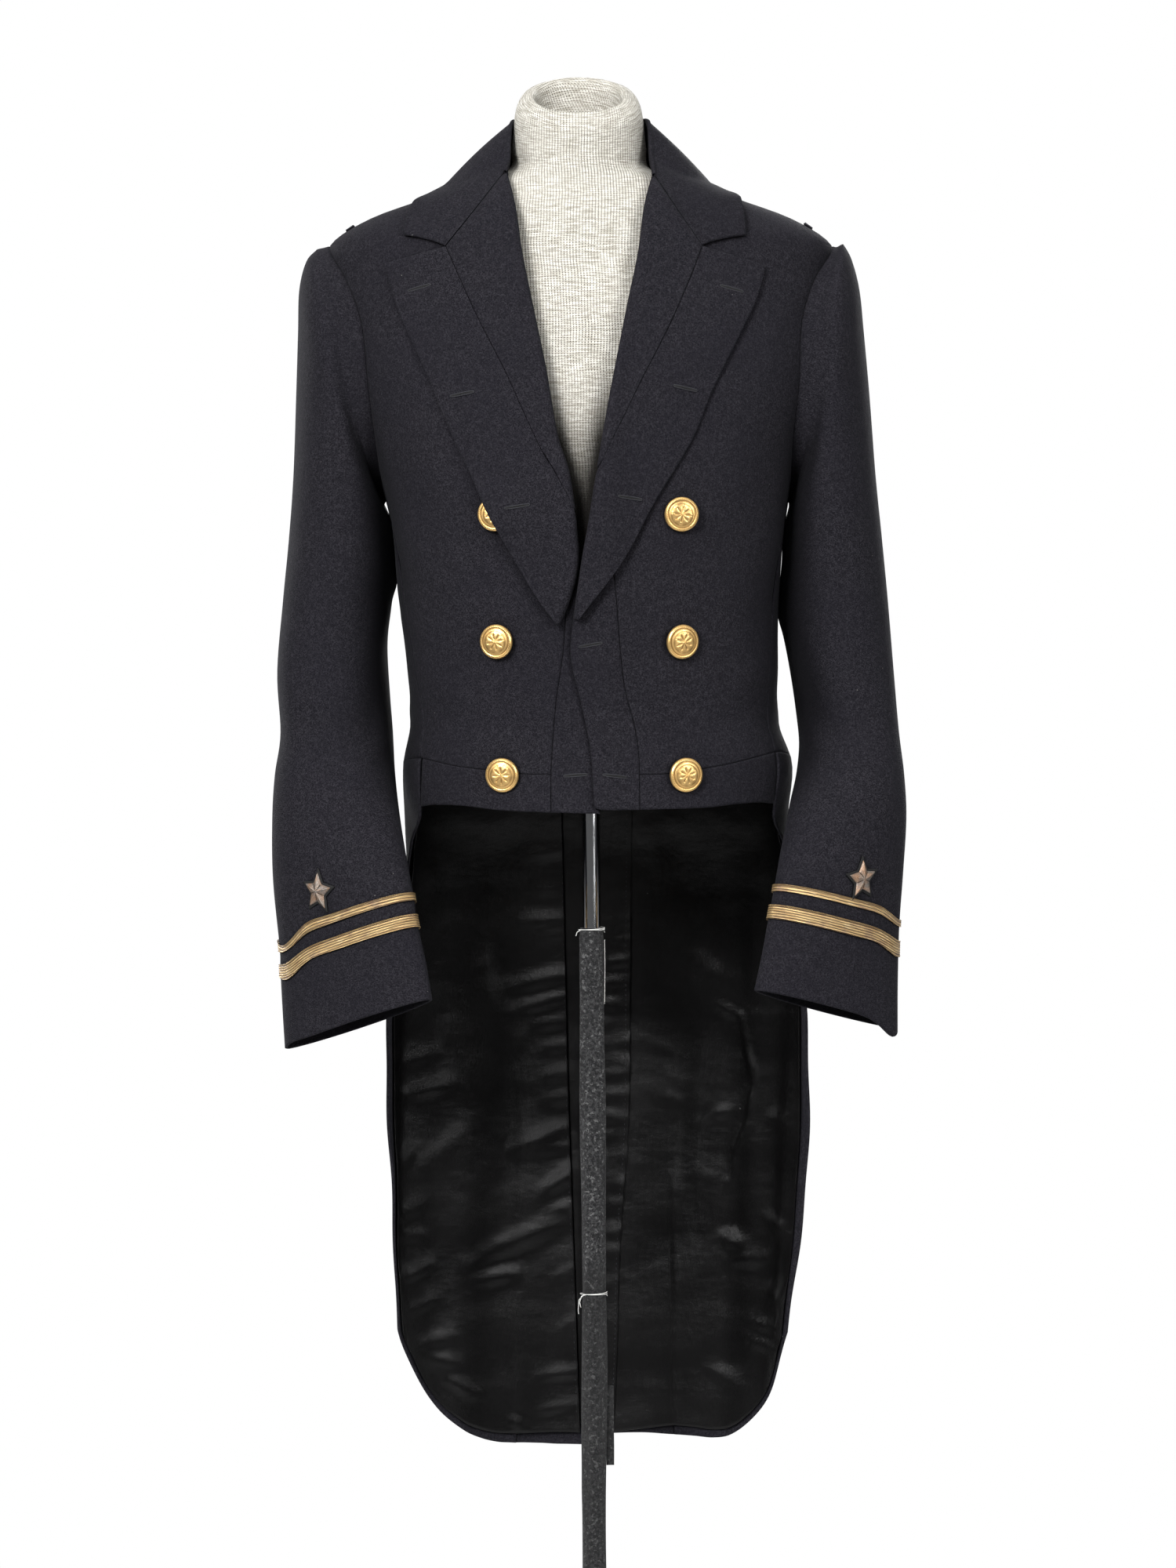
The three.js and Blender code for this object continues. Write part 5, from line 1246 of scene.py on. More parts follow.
def cover_material():
    g = Graph("black_cloth")
    u, v, _ = g.split(g.uv())
    weave = g.math("MULTIPLY", g.wave(u, 0.0008),
                   g.wave(v, 0.0009))
    fuzz = g.noise(g.place(), 420.0, 3.0, 0.75)
    speck = g.noise(g.place(), 360.0, 2.0, 0.6)
    worn = g.noise(g.place(), 70.0, 4.0, 0.6)
    tone = g.mix(g.ramp(fuzz, 0.42, 0.62), (0.002, 0.002, 0.003), (0.052, 0.052, 0.054))
    tone = g.mix(g.ramp(worn, 0.45, 0.72, 0.0, 0.5), tone, (0.012, 0.012, 0.013))
    tone = g.mix(g.ramp(speck, 0.58, 0.66, 0.0, 0.7), tone, (0.17, 0.17, 0.17))
    _, _, z = g.split(g.place())
    tone = g.mix(g.ramp(z, 0.580, 0.565, 0.0, 0.45), tone, (0.004, 0.004, 0.004))
    height = g.math("ADD", weave, fuzz)
    g.set(Base_Color=tone, Roughness=0.9, Normal=g.bump(height, 0.0003, 0.7), Sheen_Weight=0.05)
    return g.material


def steel_material():
    g = Graph("black_steel")
    grain = g.noise(g.place(), 700.0, 3.0, 0.6)
    rub = g.noise(g.place(), 14.0, 4.0, 0.6)
    tone = g.mix(rub, (0.018, 0.018, 0.019), (0.034, 0.034, 0.036))
    g.set(Base_Color=tone, Roughness=g.ramp(rub, 0.3, 0.7, 0.38, 0.55), Normal=g.bump(grain, 0.0002, 0.5),
          Specular_IOR_Level=0.5)
    return g.material


# Woven gold lace: ribs along it, dark lines between, a twisted cord at each edge
def lace_material(kind):
    g = Graph("gold_lace_" + kind)
    u, v, _ = g.split(g.uv())
    across = g.math("DIVIDE", v, LACES[kind].width * MM)
    rib = g.math("ABSOLUTE", g.math("SINE", g.math("MULTIPLY", across, math.pi * LACES[kind].ribs)))
    dark = g.ramp(rib, 0.72, 0.30)
    from_edge = g.math("MINIMUM", across, g.math("SUBTRACT", 1.0, across))
    edge = g.ramp(from_edge, 0.15, 0.12)
    line = g.math("MULTIPLY", g.ramp(from_edge, 0.10, 0.14), g.ramp(from_edge, 0.19, 0.15))
    twist = g.math("SINE", g.math("ADD", g.math("MULTIPLY", u, 2 * math.pi / 0.0015),
                                  g.math("MULTIPLY", v, 2 * math.pi / 0.0017)))
    wire = g.wave(u, 0.0006)
    streak = g.noise(g.scaled(g.uv(), 42.0, 1700.0), 1.0, 3.0, 0.7)
    tarnish = g.noise(g.place(), 60.0, 3.0, 0.65)
    painted_glint = g.noise(g.scaled(g.uv(), 130.0, 900.0), 1.0, 2.0, 0.6)
    tone = g.mix(g.ramp(streak, 0.34, 0.66), (0.36, 0.20, 0.080), (1.0, 0.75, 0.37))
    tone = g.mix(g.ramp(tarnish, 0.48, 0.70, 0.0, 0.6), tone, (0.30, 0.18, 0.15))
    # Painted highlight: pale bright streaks along the gold, mixed into its colour
    tone = g.mix(g.ramp(painted_glint, 0.60, 0.74, 0.0, 0.7), tone, (1.0, 0.87, 0.58))
    tone = g.mix(g.math("MULTIPLY", dark, 0.85), tone, (0.055, 0.032, 0.028))
    tone = g.mix(g.math("MULTIPLY", edge, g.ramp(twist, 0.0, 0.8, 0.6, 0.0)), tone, (0.12, 0.065, 0.030))
    tone = g.mix(g.math("MULTIPLY", line, 0.8), tone, (0.045, 0.026, 0.018))
    height = g.math("ADD", rib, g.math("MULTIPLY", g.math("MULTIPLY", edge, twist), 0.8))
    height = g.math("ADD", height, g.math("MULTIPLY", streak, 0.8))
    height = g.math("ADD", height, g.math("MULTIPLY", wire, 0.12))
    g.set(Base_Color=tone, Metallic=0.6, Roughness=0.38, Normal=g.bump(height, 0.00045, 0.85))
    return g.material


def bullion_material():
    g = Graph("bullion")
    _, deep, _ = g.split(g.uv())
    deep = g.math("MULTIPLY", deep, 1000.0)
    warm = g.noise(g.place(), 140.0, 3.0, 0.6)
    fine = g.noise(g.place(), 1900.0, 2.0, 0.6)
    tone = g.mix(g.ramp(warm, 0.38, 0.66), (0.21, 0.185, 0.165), (0.34, 0.20, 0.12))
    tone = g.mix(g.ramp(fine, 0.55, 0.75, 0.0, 0.6), tone, (0.80, 0.72, 0.62))
    # Painted shade: the recess value darkens the bullion in the valleys between the points and the grooves
    # between the wires
    tone = g.mix(g.ramp(deep, 0.15, 0.95, 0.0, 0.92), tone, (0.055, 0.036, 0.022))
    g.set(Base_Color=tone, Metallic=0.6, Roughness=0.42, Normal=g.bump(fine, 0.0003, 0.6))
    return g.material


def gilt_material():
    g = Graph("gilt")
    _, deep, _ = g.split(g.uv())
    deep = g.math("MULTIPLY", deep, 1000.0)
    patina = g.noise(g.place(), 240.0, 3.0, 0.6)
    fine = g.noise(g.place(), 2400.0, 2.0, 0.6)
    tone = g.mix(g.ramp(patina, 0.4, 0.75, 0.0, 0.6), (0.90, 0.595, 0.235), (0.74, 0.445, 0.15))
    # Painted shade: the recess value darkens the gilt in the hollows of the rosette, the groove inside the
    # cord and the gaps of the cord
    tone = g.mix(g.ramp(deep, 0.2, 1.0, 0.0, 0.80), tone, (0.30, 0.14, 0.035))
    g.set(Base_Color=tone, Metallic=0.85, Roughness=g.ramp(patina, 0.3, 0.7, 0.34, 0.46),
          Normal=g.bump(fine, 0.00005, 0.5))
    return g.material


def plain_thread(name, colour):
    g = Graph(name)
    fuzz = g.noise(g.place(), 3000.0, 2.0, 0.6)
    tone = g.mix(fuzz, tuple(c * 0.75 for c in colour), colour)
    g.set(Base_Color=tone, Roughness=0.8, Normal=g.bump(fuzz, 0.0001, 0.5))
    return g.material


WOOL = wool_material()
BLACK_SATIN = satin_material()
JERSEY = jersey_material()
CHROME = chrome_material()
COVER = cover_material()
STEEL = steel_material()
GOLD = {kind: lace_material(kind) for kind in LACES}
BULLION = bullion_material()
GILT = gilt_material()
WHITE_THREAD = plain_thread("white_thread", (0.85, 0.85, 0.82))
NAVY_THREAD = plain_thread("navy_thread", (0.022, 0.022, 0.028))
FELT_AND_SLIT_SHADE = plain_thread("star_pad_felt_and_slit_shade", (0.003, 0.003, 0.003))

# The coat
PANELS = (("front", front_grid), ("front_edge", strip_grid), ("waist_strap", strap_grid),
          ("side_body", side_grid), ("back", back_grid), ("tail", tail_grid))


# Whether the normals of a grid point to a place within it
def faces_in(p, middle, closed=False, first=0):
    return float((normals_of(p, closed)[:, first:] * (p[:, first:] - middle)).sum()) < 0


for side, name in SIDES:
    for piece, grid in PANELS:
        cloth(f"{piece}_{name}", grid(side), CLOTH, WOOL, "navy_wool")
    cloth(f"tail_lining_{name}", lining_grid(side), SATIN, BLACK_SATIN, "black_satin")
    for piece, grid in (("lapel", lapel_grid), ("facing", facing_grid)):
        cloth(f"{piece}_{name}", grid(side), FOLDED_CLOTH, WOOL, "navy_wool")
    for kind, gold in GOLD.items():
        p = lace_grid(side, kind)
        inward = faces_in(p, p.mean(1, keepdims=True), True)
        cloth(f"{kind}_lace_{name}", p, LACE, gold, "gold_lace",
                            True, inward)
    halves = {piece: sleeve_grid(side, piece) for piece in ("top", "under")}
    centre = sum(p.mean(1, keepdims=True) / 2 for p in halves.values())
    for piece, p in halves.items():
        cloth(f"{piece}_sleeve_{name}", p, CLOTH, WOOL, "navy_wool", flip=faces_in(p, centre))
cloth("vent_underlap", underlap_grid(), UNDERLAP_CLOTH, WOOL, "navy_wool")
cloth("vent_facing", vent_facing_grid(), SATIN, BLACK_SATIN, "black_satin")
# Columns of the collar's leaf, from this one on, are judged against a place in the chest
LEAF_COLUMN, CHEST = 12, np.array([-6.0, 10.0, 1360.0])
p = collar_grid()
cloth("collar", p, FOLDED_CLOTH, WOOL, "navy_wool", flip=faces_in(p, CHEST, first=LEAF_COLUMN))


LOOP_X = {"r": -183.0, "l": 168.0}


def loop_grid(side):
    v, u = stops(8, 0.06)[:, None], stops(24, 0.03)[None, :]
    bow = 0.7 * np.sin(np.pi * u)
    x, y = LOOP_X[side] + SIGN[side] * mix(-4.5, 4.5, v), mix(-9.0, 25.0, u)
    start = np.stack(np.broadcast_arrays(x, y, 1378.0), -1)
    return clear_of(start, 1.1 + bow + 0 * v)


for side, name in SIDES:
    cloth(f"shoulder_loop_{name}", loop_grid(side), LOOP_CLOTH, WOOL, "navy_wool")


# Stars of metal wire embroidery, on a dark pad: each with its station and degrees on the sleeve
STARS = {"r": (13.45, 88.0), "l": (13.4, 90.0)}
STAR_TILT, STAR_WAIST, FIFTH = 17.0, 0.50, math.radians(72)
PAD_RADIUS, PAD_BASE, PAD_RISE = 17.6, 1.1, 0.9
WIRE_RADIUS, WIRE_BASE, WIRE_RISE = 14.0, 1.7, 2.6


def frame_at(side, at, turn):
    origin = sleeve_point(side, at, turn)
    up = unit(sleeve_point(side, at - 0.2, turn) - origin)
    across = unit(sleeve_point(side, at, turn - 6.0) - origin)
    face = unit(np.cross(across, up))
    if face[1] > 0:
        face = -face
    return origin, unit(np.cross(up, face)), up, face


def star_grid(side, at, turn, radius, base, rise, ridged):
    origin, right, up, face = frame_at(side, at, turn)
    tilt = math.radians(90.0 + SIGN[side] * STAR_TILT)
    angle = np.radians(round_ring(240))
    ring = np.concatenate([[0.02], np.linspace(0.06, 1.0, 34), [1.0]])[:, None]
    inner, half = radius * STAR_WAIST, FIFTH / 2
    from_point = np.mod(angle - tilt + half, FIFTH) - half
    a = np.abs(from_point)
    reach = inner * radius * math.sin(half) / (inner * np.sin(half - a) + radius * np.sin(a))
    r = ring * reach
    along, aside = r * np.cos(from_point), np.abs(r * np.sin(from_point))
    dome = (1 - ring ** 2.2) ** 0.6
    ridge = np.clip(1 - aside / (0.30 * radius), 0, 1)
    height = base + rise * dome * (0.55 + 0.45 * ridge)
    wires = np.pi * (along - 0.55 * aside)
    if ridged:
        height = height + 0.28 * dome * np.abs(np.sin(wires))
        height = height - 0.7 * dome * bell(a - half, 0.05) * smooth(0.0, 3.0, r)
    height[-1] = base - 0.6
    x, y = 0.86 * r * np.cos(angle), 1.06 * r * np.sin(angle)
    # Painted shade: the valleys between the points and the grooves between the wires, kept as recess for
    # the bullion to be darkened by
    valley = bell(a - half, 0.10) * smooth(0.0, 3.0, r) * smooth(1.0, 0.8, ring)
    cord = bell(a, 0.045) * smooth(0.1, 0.2, ring) * smooth(0.95, 0.8, ring)
    wire = 0.5 - 0.5 * np.cos(2 * wires)
    recess = np.clip(0.75 * valley + 0.45 * wire * (1 - cord), 0, 1) if ridged else 0 * r
    height = height - x ** 2 / 190.0
    return origin + x[..., None] * right + y[..., None] * up + height[..., None] * face, recess


# Six times the volume inside the faces, which is negative when they face in
def solid_volume(points, faces):
    volume = 0.0
    for f in faces:
        q = points[f] - points[0]
        for k in range(1, len(f) - 1):
            volume += float(np.dot(q[0], np.cross(q[k], q[k + 1])))
    return volume


# Closed skin over rings, with a point in the middle of each end; a recess, kept in the UV, lets the
# material paint shade into the hollows
def capped(p, recess=None):
    rows, cols = p.shape[:2]
    points = np.concatenate([p.reshape(-1, 3), p[0].mean(0, keepdims=True), p[-1].mean(0, keepdims=True)])
    grid = np.arange(rows * cols).reshape(rows, cols)
    a, b, d, c = grid[:-1], np.roll(grid, -1, 1)[:-1], grid[1:], np.roll(grid, -1, 1)[1:]
    faces = np.stack([a, d, c, b], -1).reshape(-1, 4).tolist()
    nxt = np.roll(grid, -1, 1)
    faces += [[rows * cols, int(s), int(t)] for s, t in zip(grid[0], nxt[0])]
    faces += [[rows * cols + 1, int(t), int(s)] for s, t in zip(grid[-1], nxt[-1])]
    if solid_volume(points, faces) < 0:
        faces = [f[::-1] for f in faces]
    uv = points[:, [0, 2]].copy()
    if recess is not None:
        uv[:, 1] = np.concatenate([np.broadcast_to(recess, p.shape[:2]).ravel(), [0.0, 0.0]])
    return points, faces, uv


for side, name in SIDES:
    pad = star_grid(side, *STARS[side], PAD_RADIUS, PAD_BASE, PAD_RISE, False)
    make(f"star_pad_{name}", *capped(*pad), FELT_AND_SLIT_SHADE, "navy_wool")
    wires = star_grid(side, *STARS[side], WIRE_RADIUS, WIRE_BASE, WIRE_RISE, True)
    make(f"star_wire_{name}", *capped(*wires), BULLION, "bullion", (f"star_{name}",))


# Domed button with a corded rim and a plain rosette
BUTTON_BACK = ((1.02, 3.5), (1.03, 2.9), (1.0, 2.3), (0.9, 1.7), (0.6, 1.3), (0.2, 1.2), (0.16, 0.3))


def button_grid(origin, face, spin):
    right = unit(np.cross(np.array([0.0, 0.0, 1.0]), face))
    up = unit(np.cross(face, right))
    angle = np.radians(round_ring(120))
    r = np.concatenate([np.linspace(0.02, 0.80, 26), np.linspace(0.82, 0.98, 11), [1.0]])[:, None]
    dome = 3.9 + 2.6 * np.sqrt(np.clip(1 - (r / 1.05) ** 2, 0, 1))
    strands, rays = np.sin(angle * 44 + r * 40), np.abs(np.sin(angle * 24))
    cord = 0.55 * bell(r - 0.91, 0.055) * (0.72 + 0.28 * strands)
    groove = -0.35 * bell(r - 0.80, 0.03)
    inside = smooth(0.72, 0.64, r)
    mound = np.clip(np.sin(np.pi * np.clip(r / 0.68, 0, 1)), 0, 1) ** 0.8
    petal = np.abs(np.cos(angle * 4 + spin)) ** 0.7 * mound
    second = np.abs(np.sin(angle * 4 + spin)) ** 2.4 * bell(r - 0.55, 0.10)
    vein = 0.10 * rays * inside
    centre = 0.55 * bell(r, 0.13)
    height = dome + cord + groove + inside * (0.62 * petal + 0.4 * second) - vein + centre
    spoke = np.cos(angle)[..., None] * right + np.sin(angle)[..., None] * up
    top = origin + BUTTON_RADIUS * r[..., None] * spoke + height[..., None] * face
    rim = [origin + BUTTON_RADIUS * share * spoke[0] + level * face for share, level in BUTTON_BACK]
    # Painted shade: how far each place lies in a hollow, for the gilt to be darkened by; the back of the
    # button is half shaded
    hollow = inside * (1 - petal) * (1 - second) * (1 - bell(r, 0.16)) + bell(r - 0.80, 0.045)
    hollow = hollow + 0.8 * bell(r - 0.91, 0.06) * (0.5 - 0.5 * strands) + 0.15 * rays * inside
    recess = np.concatenate([np.clip(hollow, 0, 1), np.full((len(rim), angle.shape[1]), 0.5)], 0)
    return np.concatenate([top, np.array(rim)], 0), recess


def coat_normal(x, z, back, lift=0.0):
    degrees = float(angle_at_x(z, x, back))
    origin = coat(degrees, z, lift)
    aside = coat(degrees + 2, z, lift) - origin
    up = coat(degrees, z + 6, lift) - coat(degrees, z - 6, lift)
    return origin, unit(np.cross(aside, up))


# Place of each front button, and its lean to the side and up
BUTTONS = {
    "button_top_right": (-69.5, 1152, (0.05, 0.02)),
    "button_middle_right": (-68, 1056.5, (-0.06, 0.05)),
    "button_low_right": (-64, 956, (0.02, -0.16)),
    "button_top_left": (70, 1152, (-0.16, -0.05)),
    "button_middle_left": (70, 1056.5, (0.10, -0.04)),
    "button_low_left": (73, 956, (0.05, -0.10)),
}
BACK_BUTTON_OFF = 34
for k, (name, (x, z, lean)) in enumerate(BUTTONS.items()):
    origin, face = coat_normal(float(x), float(z), False)
    face = unit(face + np.array([lean[0], 0.0, lean[1]]))
    make(name + "_gilt", *capped(*button_grid(origin, face, k * 0.7)), GILT, "gilt", (name,))
for side, name in SIDES:
    origin, face = coat_normal(float(centre_x(WAIST)) + SIGN[side] * BACK_BUTTON_OFF, WAIST, True, 0.6)
    make(f"back_button_{name}_gilt", *capped(*button_grid(origin, face, 0.4)), GILT, "gilt",
         (f"back_button_{name}",))


# Round tube along a path, closed at its ends or joined into a ring
def tube(path, radius, sides, ring=False):
    path = np.asarray(path, float)
    along = unit(np.roll(path, -1, 0) - np.roll(path, 1, 0)) if ring else unit(np.gradient(path, axis=0))
    side = unit(np.cross(along, np.array([0.21, 0.4, 0.89])))
    other = np.cross(along, side)
    angle = np.radians(round_ring(sides))[..., None]
    radius = np.broadcast_to(np.asarray(radius, float), (len(path),))[:, None, None]
    p = path[:, None] + radius * (np.cos(angle) * side[:, None] + np.sin(angle) * other[:, None])
    if not ring:
        return capped(p)
    rows, cols = p.shape[:2]
    grid = np.arange(rows * cols).reshape(rows, cols)
    nxt = np.roll(grid, -1, 0)
    faces = np.stack([grid, nxt, np.roll(nxt, -1, 1), np.roll(grid, -1, 1)], -1).reshape(-1, 4).tolist()
    points = p.reshape(-1, 3)
    return points, faces, points[:, [0, 2]]


def joined(parts):
    points, faces, uvs, base = [], [], [], 0
    for p, f, uv in parts:
        points.append(np.asarray(p))
        uvs.append(np.asarray(uv))
        faces += [[int(i) + base for i in face] for face in f]
        base += len(p)
    return np.concatenate(points), faces, np.concatenate(uvs)


# Worked buttonholes: a corded oval of stitches round a slit, each with its piece, place and slope
HALF_HOLE, HOLE_GAP, HOLE_CORD, HALF_SLIT, SLIT_SHADE_RADIUS = 8.8, 0.95, 0.46, 8.6, 0.5
HOLES = [
    ("lapel_right", -127.0, 1326.0, 14.0), ("lapel_right", -94.0, 1243.0, 10.0),
    ("lapel_right", -51.5, 1157.0, 9.0), ("lapel_left", 108.0, 1325.0, -14.0),
    ("lapel_left", 72.5, 1247.0, -12.0), ("lapel_left", 31.2, 1163.5, -8.0),
    ("strip_left", 1.8, 1053.5, 10.0), ("strip_right", -9.5, 955.5, 4.0),
    ("strip_left", 20.0, 955.0, -6.0),
]


def on_coat(kind, x, z):
    side = "r" if kind.endswith("right") else "l"
    if kind.startswith("lapel"):
        return front_point(x, z, rolled(x, z, side) + 0.15)
    return front_point(x, z, lap_over(x, side) + 0.15)


def buttonhole(kind, x, z, slope):
    angle = np.linspace(0, 2 * math.pi, 97)[:-1]
    up = np.sin(angle)
    a, b = HALF_HOLE * np.cos(angle), HOLE_GAP * np.sign(up) * np.abs(up) ** 0.35
    c, s = math.cos(math.radians(slope)), math.sin(math.radians(slope))
    path = on_coat(kind, x + a * c - b * s, z + a * s + b * c)
    return tube(path, HOLE_CORD + 0.10 * np.sin(angle * 40), 8, True)


# Painted shade: a near-black rod along each slit stands for the shade inside the cut; it shares the star
# pad's felt material
def slit(kind, x, z, slope):
    a = np.linspace(-HALF_SLIT, HALF_SLIT, 12)
    c, s = math.cos(math.radians(slope)), math.sin(math.radians(slope))
    return tube(on_coat(kind, x + a * c, z + a * s), SLIT_SHADE_RADIUS, 6)


make("buttonholes", *joined([buttonhole(*hole) for hole in HOLES]), NAVY_THREAD, "navy_wool")
make("buttonhole_slit_shade", *joined([slit(*hole) for hole in HOLES]), FELT_AND_SLIT_SHADE, "navy_wool")


# Running stitches along the edges of the satin strip and of the right lining
def stitch_row(points, length, pitch, radius):
    points = points + np.array([0, -0.9, 0])
    out = []
    far = np.concatenate([[0], np.cumsum(np.linalg.norm(np.diff(points, axis=0), axis=1))])
    for start in np.arange(0, far[-1] - length, pitch):
        at = np.linspace(start, start + length, 4)
        path = np.stack([np.interp(at, far, points[:, k]) for k in range(3)], -1)
        out.append(tube(path, radius, 5))
    return out


stitches = stitch_row(vent_facing_grid()[::3, -3], 1.4, 4.0, 0.22)
stitches += stitch_row(lining_grid("r")[6::4, 1], 1.3, 5.0, 0.2)
make("lining_stitches", *joined(stitches), NAVY_THREAD, "black_satin")


# Dress form: the neck's rim turns in and goes down into a hollow by these shares and drops
NECK_HOLLOW = (
    (0.97, -0.7), (0.93, -0.3), (0.89, 1.4), (0.865, 4.5), (0.85, 9.0), (0.83, 16.0), (0.80, 24.0),
    (0.74, 30.0), (0.6, 33.0), (0.3, 34.0), (0.1, 34.2),
)
# Column of the form at the middle of its front, from which the knit is measured
FRONT_COLUMN = 108


def form_grid():
    foot, chest = np.linspace(946, 960, 8), np.linspace(964, 1390, 80)
    z = np.concatenate([foot, chest, np.linspace(1392, FORM_NECK, 40)])
    degrees = round_ring(144)
    row = form_section(z[:, None] + 0 * degrees)
    p = section_point(row, degrees)
    p[..., 2] += row.tip * (p[..., 1] + 7)
    rim = p[-1]
    middle = rim.mean(0)
    inner = [middle + (rim - middle) * share - np.array([0, 0, drop]) for share, drop in NECK_HOLLOW]
    return np.concatenate([p, np.array(inner)], 0)


body = form_grid()
points, faces, _ = capped(body)
uv_u = arc(body, 1)
uv_u = uv_u - uv_u[:, FRONT_COLUMN:FRONT_COLUMN + 1]
uv_v = np.broadcast_to(arc(body, 0).mean(1)[:, None], body.shape[:2])
uv = np.concatenate([np.stack([uv_u, uv_v], -1).reshape(-1, 2), [[0, 0], [0, 700]]])
make("form_cover", points, faces, uv, JERSEY, "form_jersey", ("dress_form",))


# Stand: base, socket, pole, cloth cover with ties
POLE_RADIUS, COVER_RADIUS, COVER_WALL, FLAP_WALL = 7.0, 9.6, 1.1, 0.9


# The pole leans a little from its foot up to the form
def pole_x(z):
    return mix(7.6, 2.3, z / HEM_FRONT)


# Profile of radius and level turned round the pole, or round the middle if it is as wide as the base
def lathe(profile, cols=64, wobble=None):
    r = np.array([q[0] for q in profile], float)[:, None]
    z = np.array([q[1] for q in profile], float)[:, None]
    angle = np.radians(round_ring(cols))
    if wobble is not None:
        r = r + wobble(angle, z)
    centre = pole_x(z) if profile[0][0] < 100 else 0 * z
    return np.stack([centre + r * np.cos(angle), r * np.sin(angle) + 0 * z, z + 0 * angle], -1)


base = [(162, 0), (164, 0.7), (165, 2.2), (165, 7.4), (164.4, 8.9), (162.8, 9.8), (160.5, 10)]
base += [(r, 10.0) for r in (150, 120, 80, 40)]
make("base_disc", *capped(lathe(base, 128)), STEEL, "black_steel", ("base_plate",))
socket = [(21.5, 10.3), (22, 10.8), (22, 15.2), (21.2, 16), (14.6, 19), (13.3, 20.4), (13, 22),
          (13, 32.6), (12.4, 33.6), (11.2, 34)]
make("socket_turned", *capped(lathe(socket)), CHROME, "chrome", ("pole_socket",))
pole = [(POLE_RADIUS, z) for z in (34.3, *np.linspace(60, 940, 45), 945.7)]
make("pole_tube", *capped(lathe(pole, 48)), CHROME, "chrome", ("pole",))


def cover_wobble(angle, z):
    low = 0.5 * np.sin(3 * angle + z * 0.013) + 0.5 * np.sin(z * 0.03)
    wrap = 0.35 * np.sin(5 * angle - z * 0.021) + 0.3 * bell(np.mod(angle * 9.8 - z * 0.31, 61.6) - 30, 4)
    bound = -0.9 * bell(z - COVER_TOP + 2, 3) - 0.9 * bell(z - LOW_TIE, 3)
    return low + wrap * 0.8 + bound


cover_z = (36.0, 37.5, *np.linspace(45, 830, 130), COVER_TOP - 1.5, COVER_TOP)
cover = lathe([(COVER_RADIUS, z) for z in cover_z], 40, cover_wobble)
piece = make("pole_wrap", *wall(cover, COVER_WALL, True, False), COVER, "black_cloth", ("pole_cover",))
flap_z, flap_u = np.linspace(419, 481, 40)[:, None], stops(8, 0.08)[None, :]
flap_x, flap_y = pole_x(flap_z) + mix(9.2, 15.2, flap_u), 0.5 + 0.9 * flap_u * np.sin(flap_z * 0.2)
flap = np.stack([flap_x, flap_y, flap_z + 0 * flap_u], -1)
end = make("wrap_end", *wall(flap, FLAP_WALL, False, False), COVER, "black_cloth", ("cover_flap",))


# White thread: a tie at the cover's top, one lower down, and their loose ends
def wound(z, turns, radius):
    t = np.linspace(0, turns * 2 * math.pi, int(40 * turns))
    r = radius + 0.15 * np.sin(t * 3)
    return np.stack([pole_x(z) + r * np.cos(t), r * np.sin(t), z + 0.9 * np.sin(t * 0.5) + 0.25 * t], -1)


def hanging(points):
    t = np.linspace(0, 1, 24)
    keys = np.linspace(0, 1, len(points))
    return np.stack([np.interp(t, keys, [q[k] for q in points]) for k in range(3)], -1)


# Loose ends: radius and sides of the thread, and the places that it hangs through
LOOSE_ENDS = (
    (0.2, 5, [(12.9, -2.5, 828), (13.2, -2.4, 805), (12.9, -2.5, 778)]),
    (0.28, 6, [(-1, -10.4, 553), (-5, -10.8, 552), (-6.5, -10.9, 547), (-5.5, -10.9, 543)]),
    (0.28, 6, [(-3, -10.6, 553), (-7, -11.2, 549), (-7.6, -11.3, 541), (-7.2, -11.2, 538)]),
    (0.34, 6, [(6, -9.0, 836), (10.5, -6, 835.5), (12.8, -4, 836.5)]),
    (0.34, 6, [(-5, -9.0, 836), (-8.5, -7, 834.0), (-9.4, -6, 831)]),
)
ties = [tube(wound(COVER_TOP - 3, 2.2, 10.1), 0.32, 6), tube(wound(LOW_TIE - 2, 2.0, 10.4), 0.32, 6)]
ties += [tube(hanging(places), radius, sides) for radius, sides, places in LOOSE_ENDS]
make("thread_ties", *joined(ties), WHITE_THREAD, "form_jersey")


# Stage: a pale round floor that fades at its rim into a white backdrop all round, which lights nothing
FLOOR_RADIUS = 1.85
BACKDROP_RADIUS = 14.0
ROOM_LEVEL = 0.10


def staged(name, points, faces, material):
    mesh = bpy.data.meshes.new(name)
    mesh.from_pydata(points, [], faces)
    mesh.materials.append(material)
    made = bpy.data.objects.new(name, mesh)
    bpy.context.scene.collection.objects.link(made)
    return made


def floor():
    g = Graph("studio_floor")
    soft = g.noise(g.place(), 3.0, 2.0, 0.5)
    tone = g.mix(soft, (0.86, 0.86, 0.86), (0.89, 0.89, 0.89))
    g.set(Base_Color=tone, Roughness=0.9, Specular_IOR_Level=0.1)
    away = g.node("ShaderNodeVectorMath", {0: g.place()}, operation="LENGTH").outputs["Value"]
    g.set(Alpha=g.ramp(away, FLOOR_RADIUS * 0.97, FLOOR_RADIUS * 0.45))
    turn = np.linspace(0, 2 * math.pi, 97)[:-1]
    points = [(FLOOR_RADIUS * math.cos(t), FLOOR_RADIUS * math.sin(t), 0.0) for t in turn]
    staged("studio_floor", points, [list(range(len(points)))], g.material)


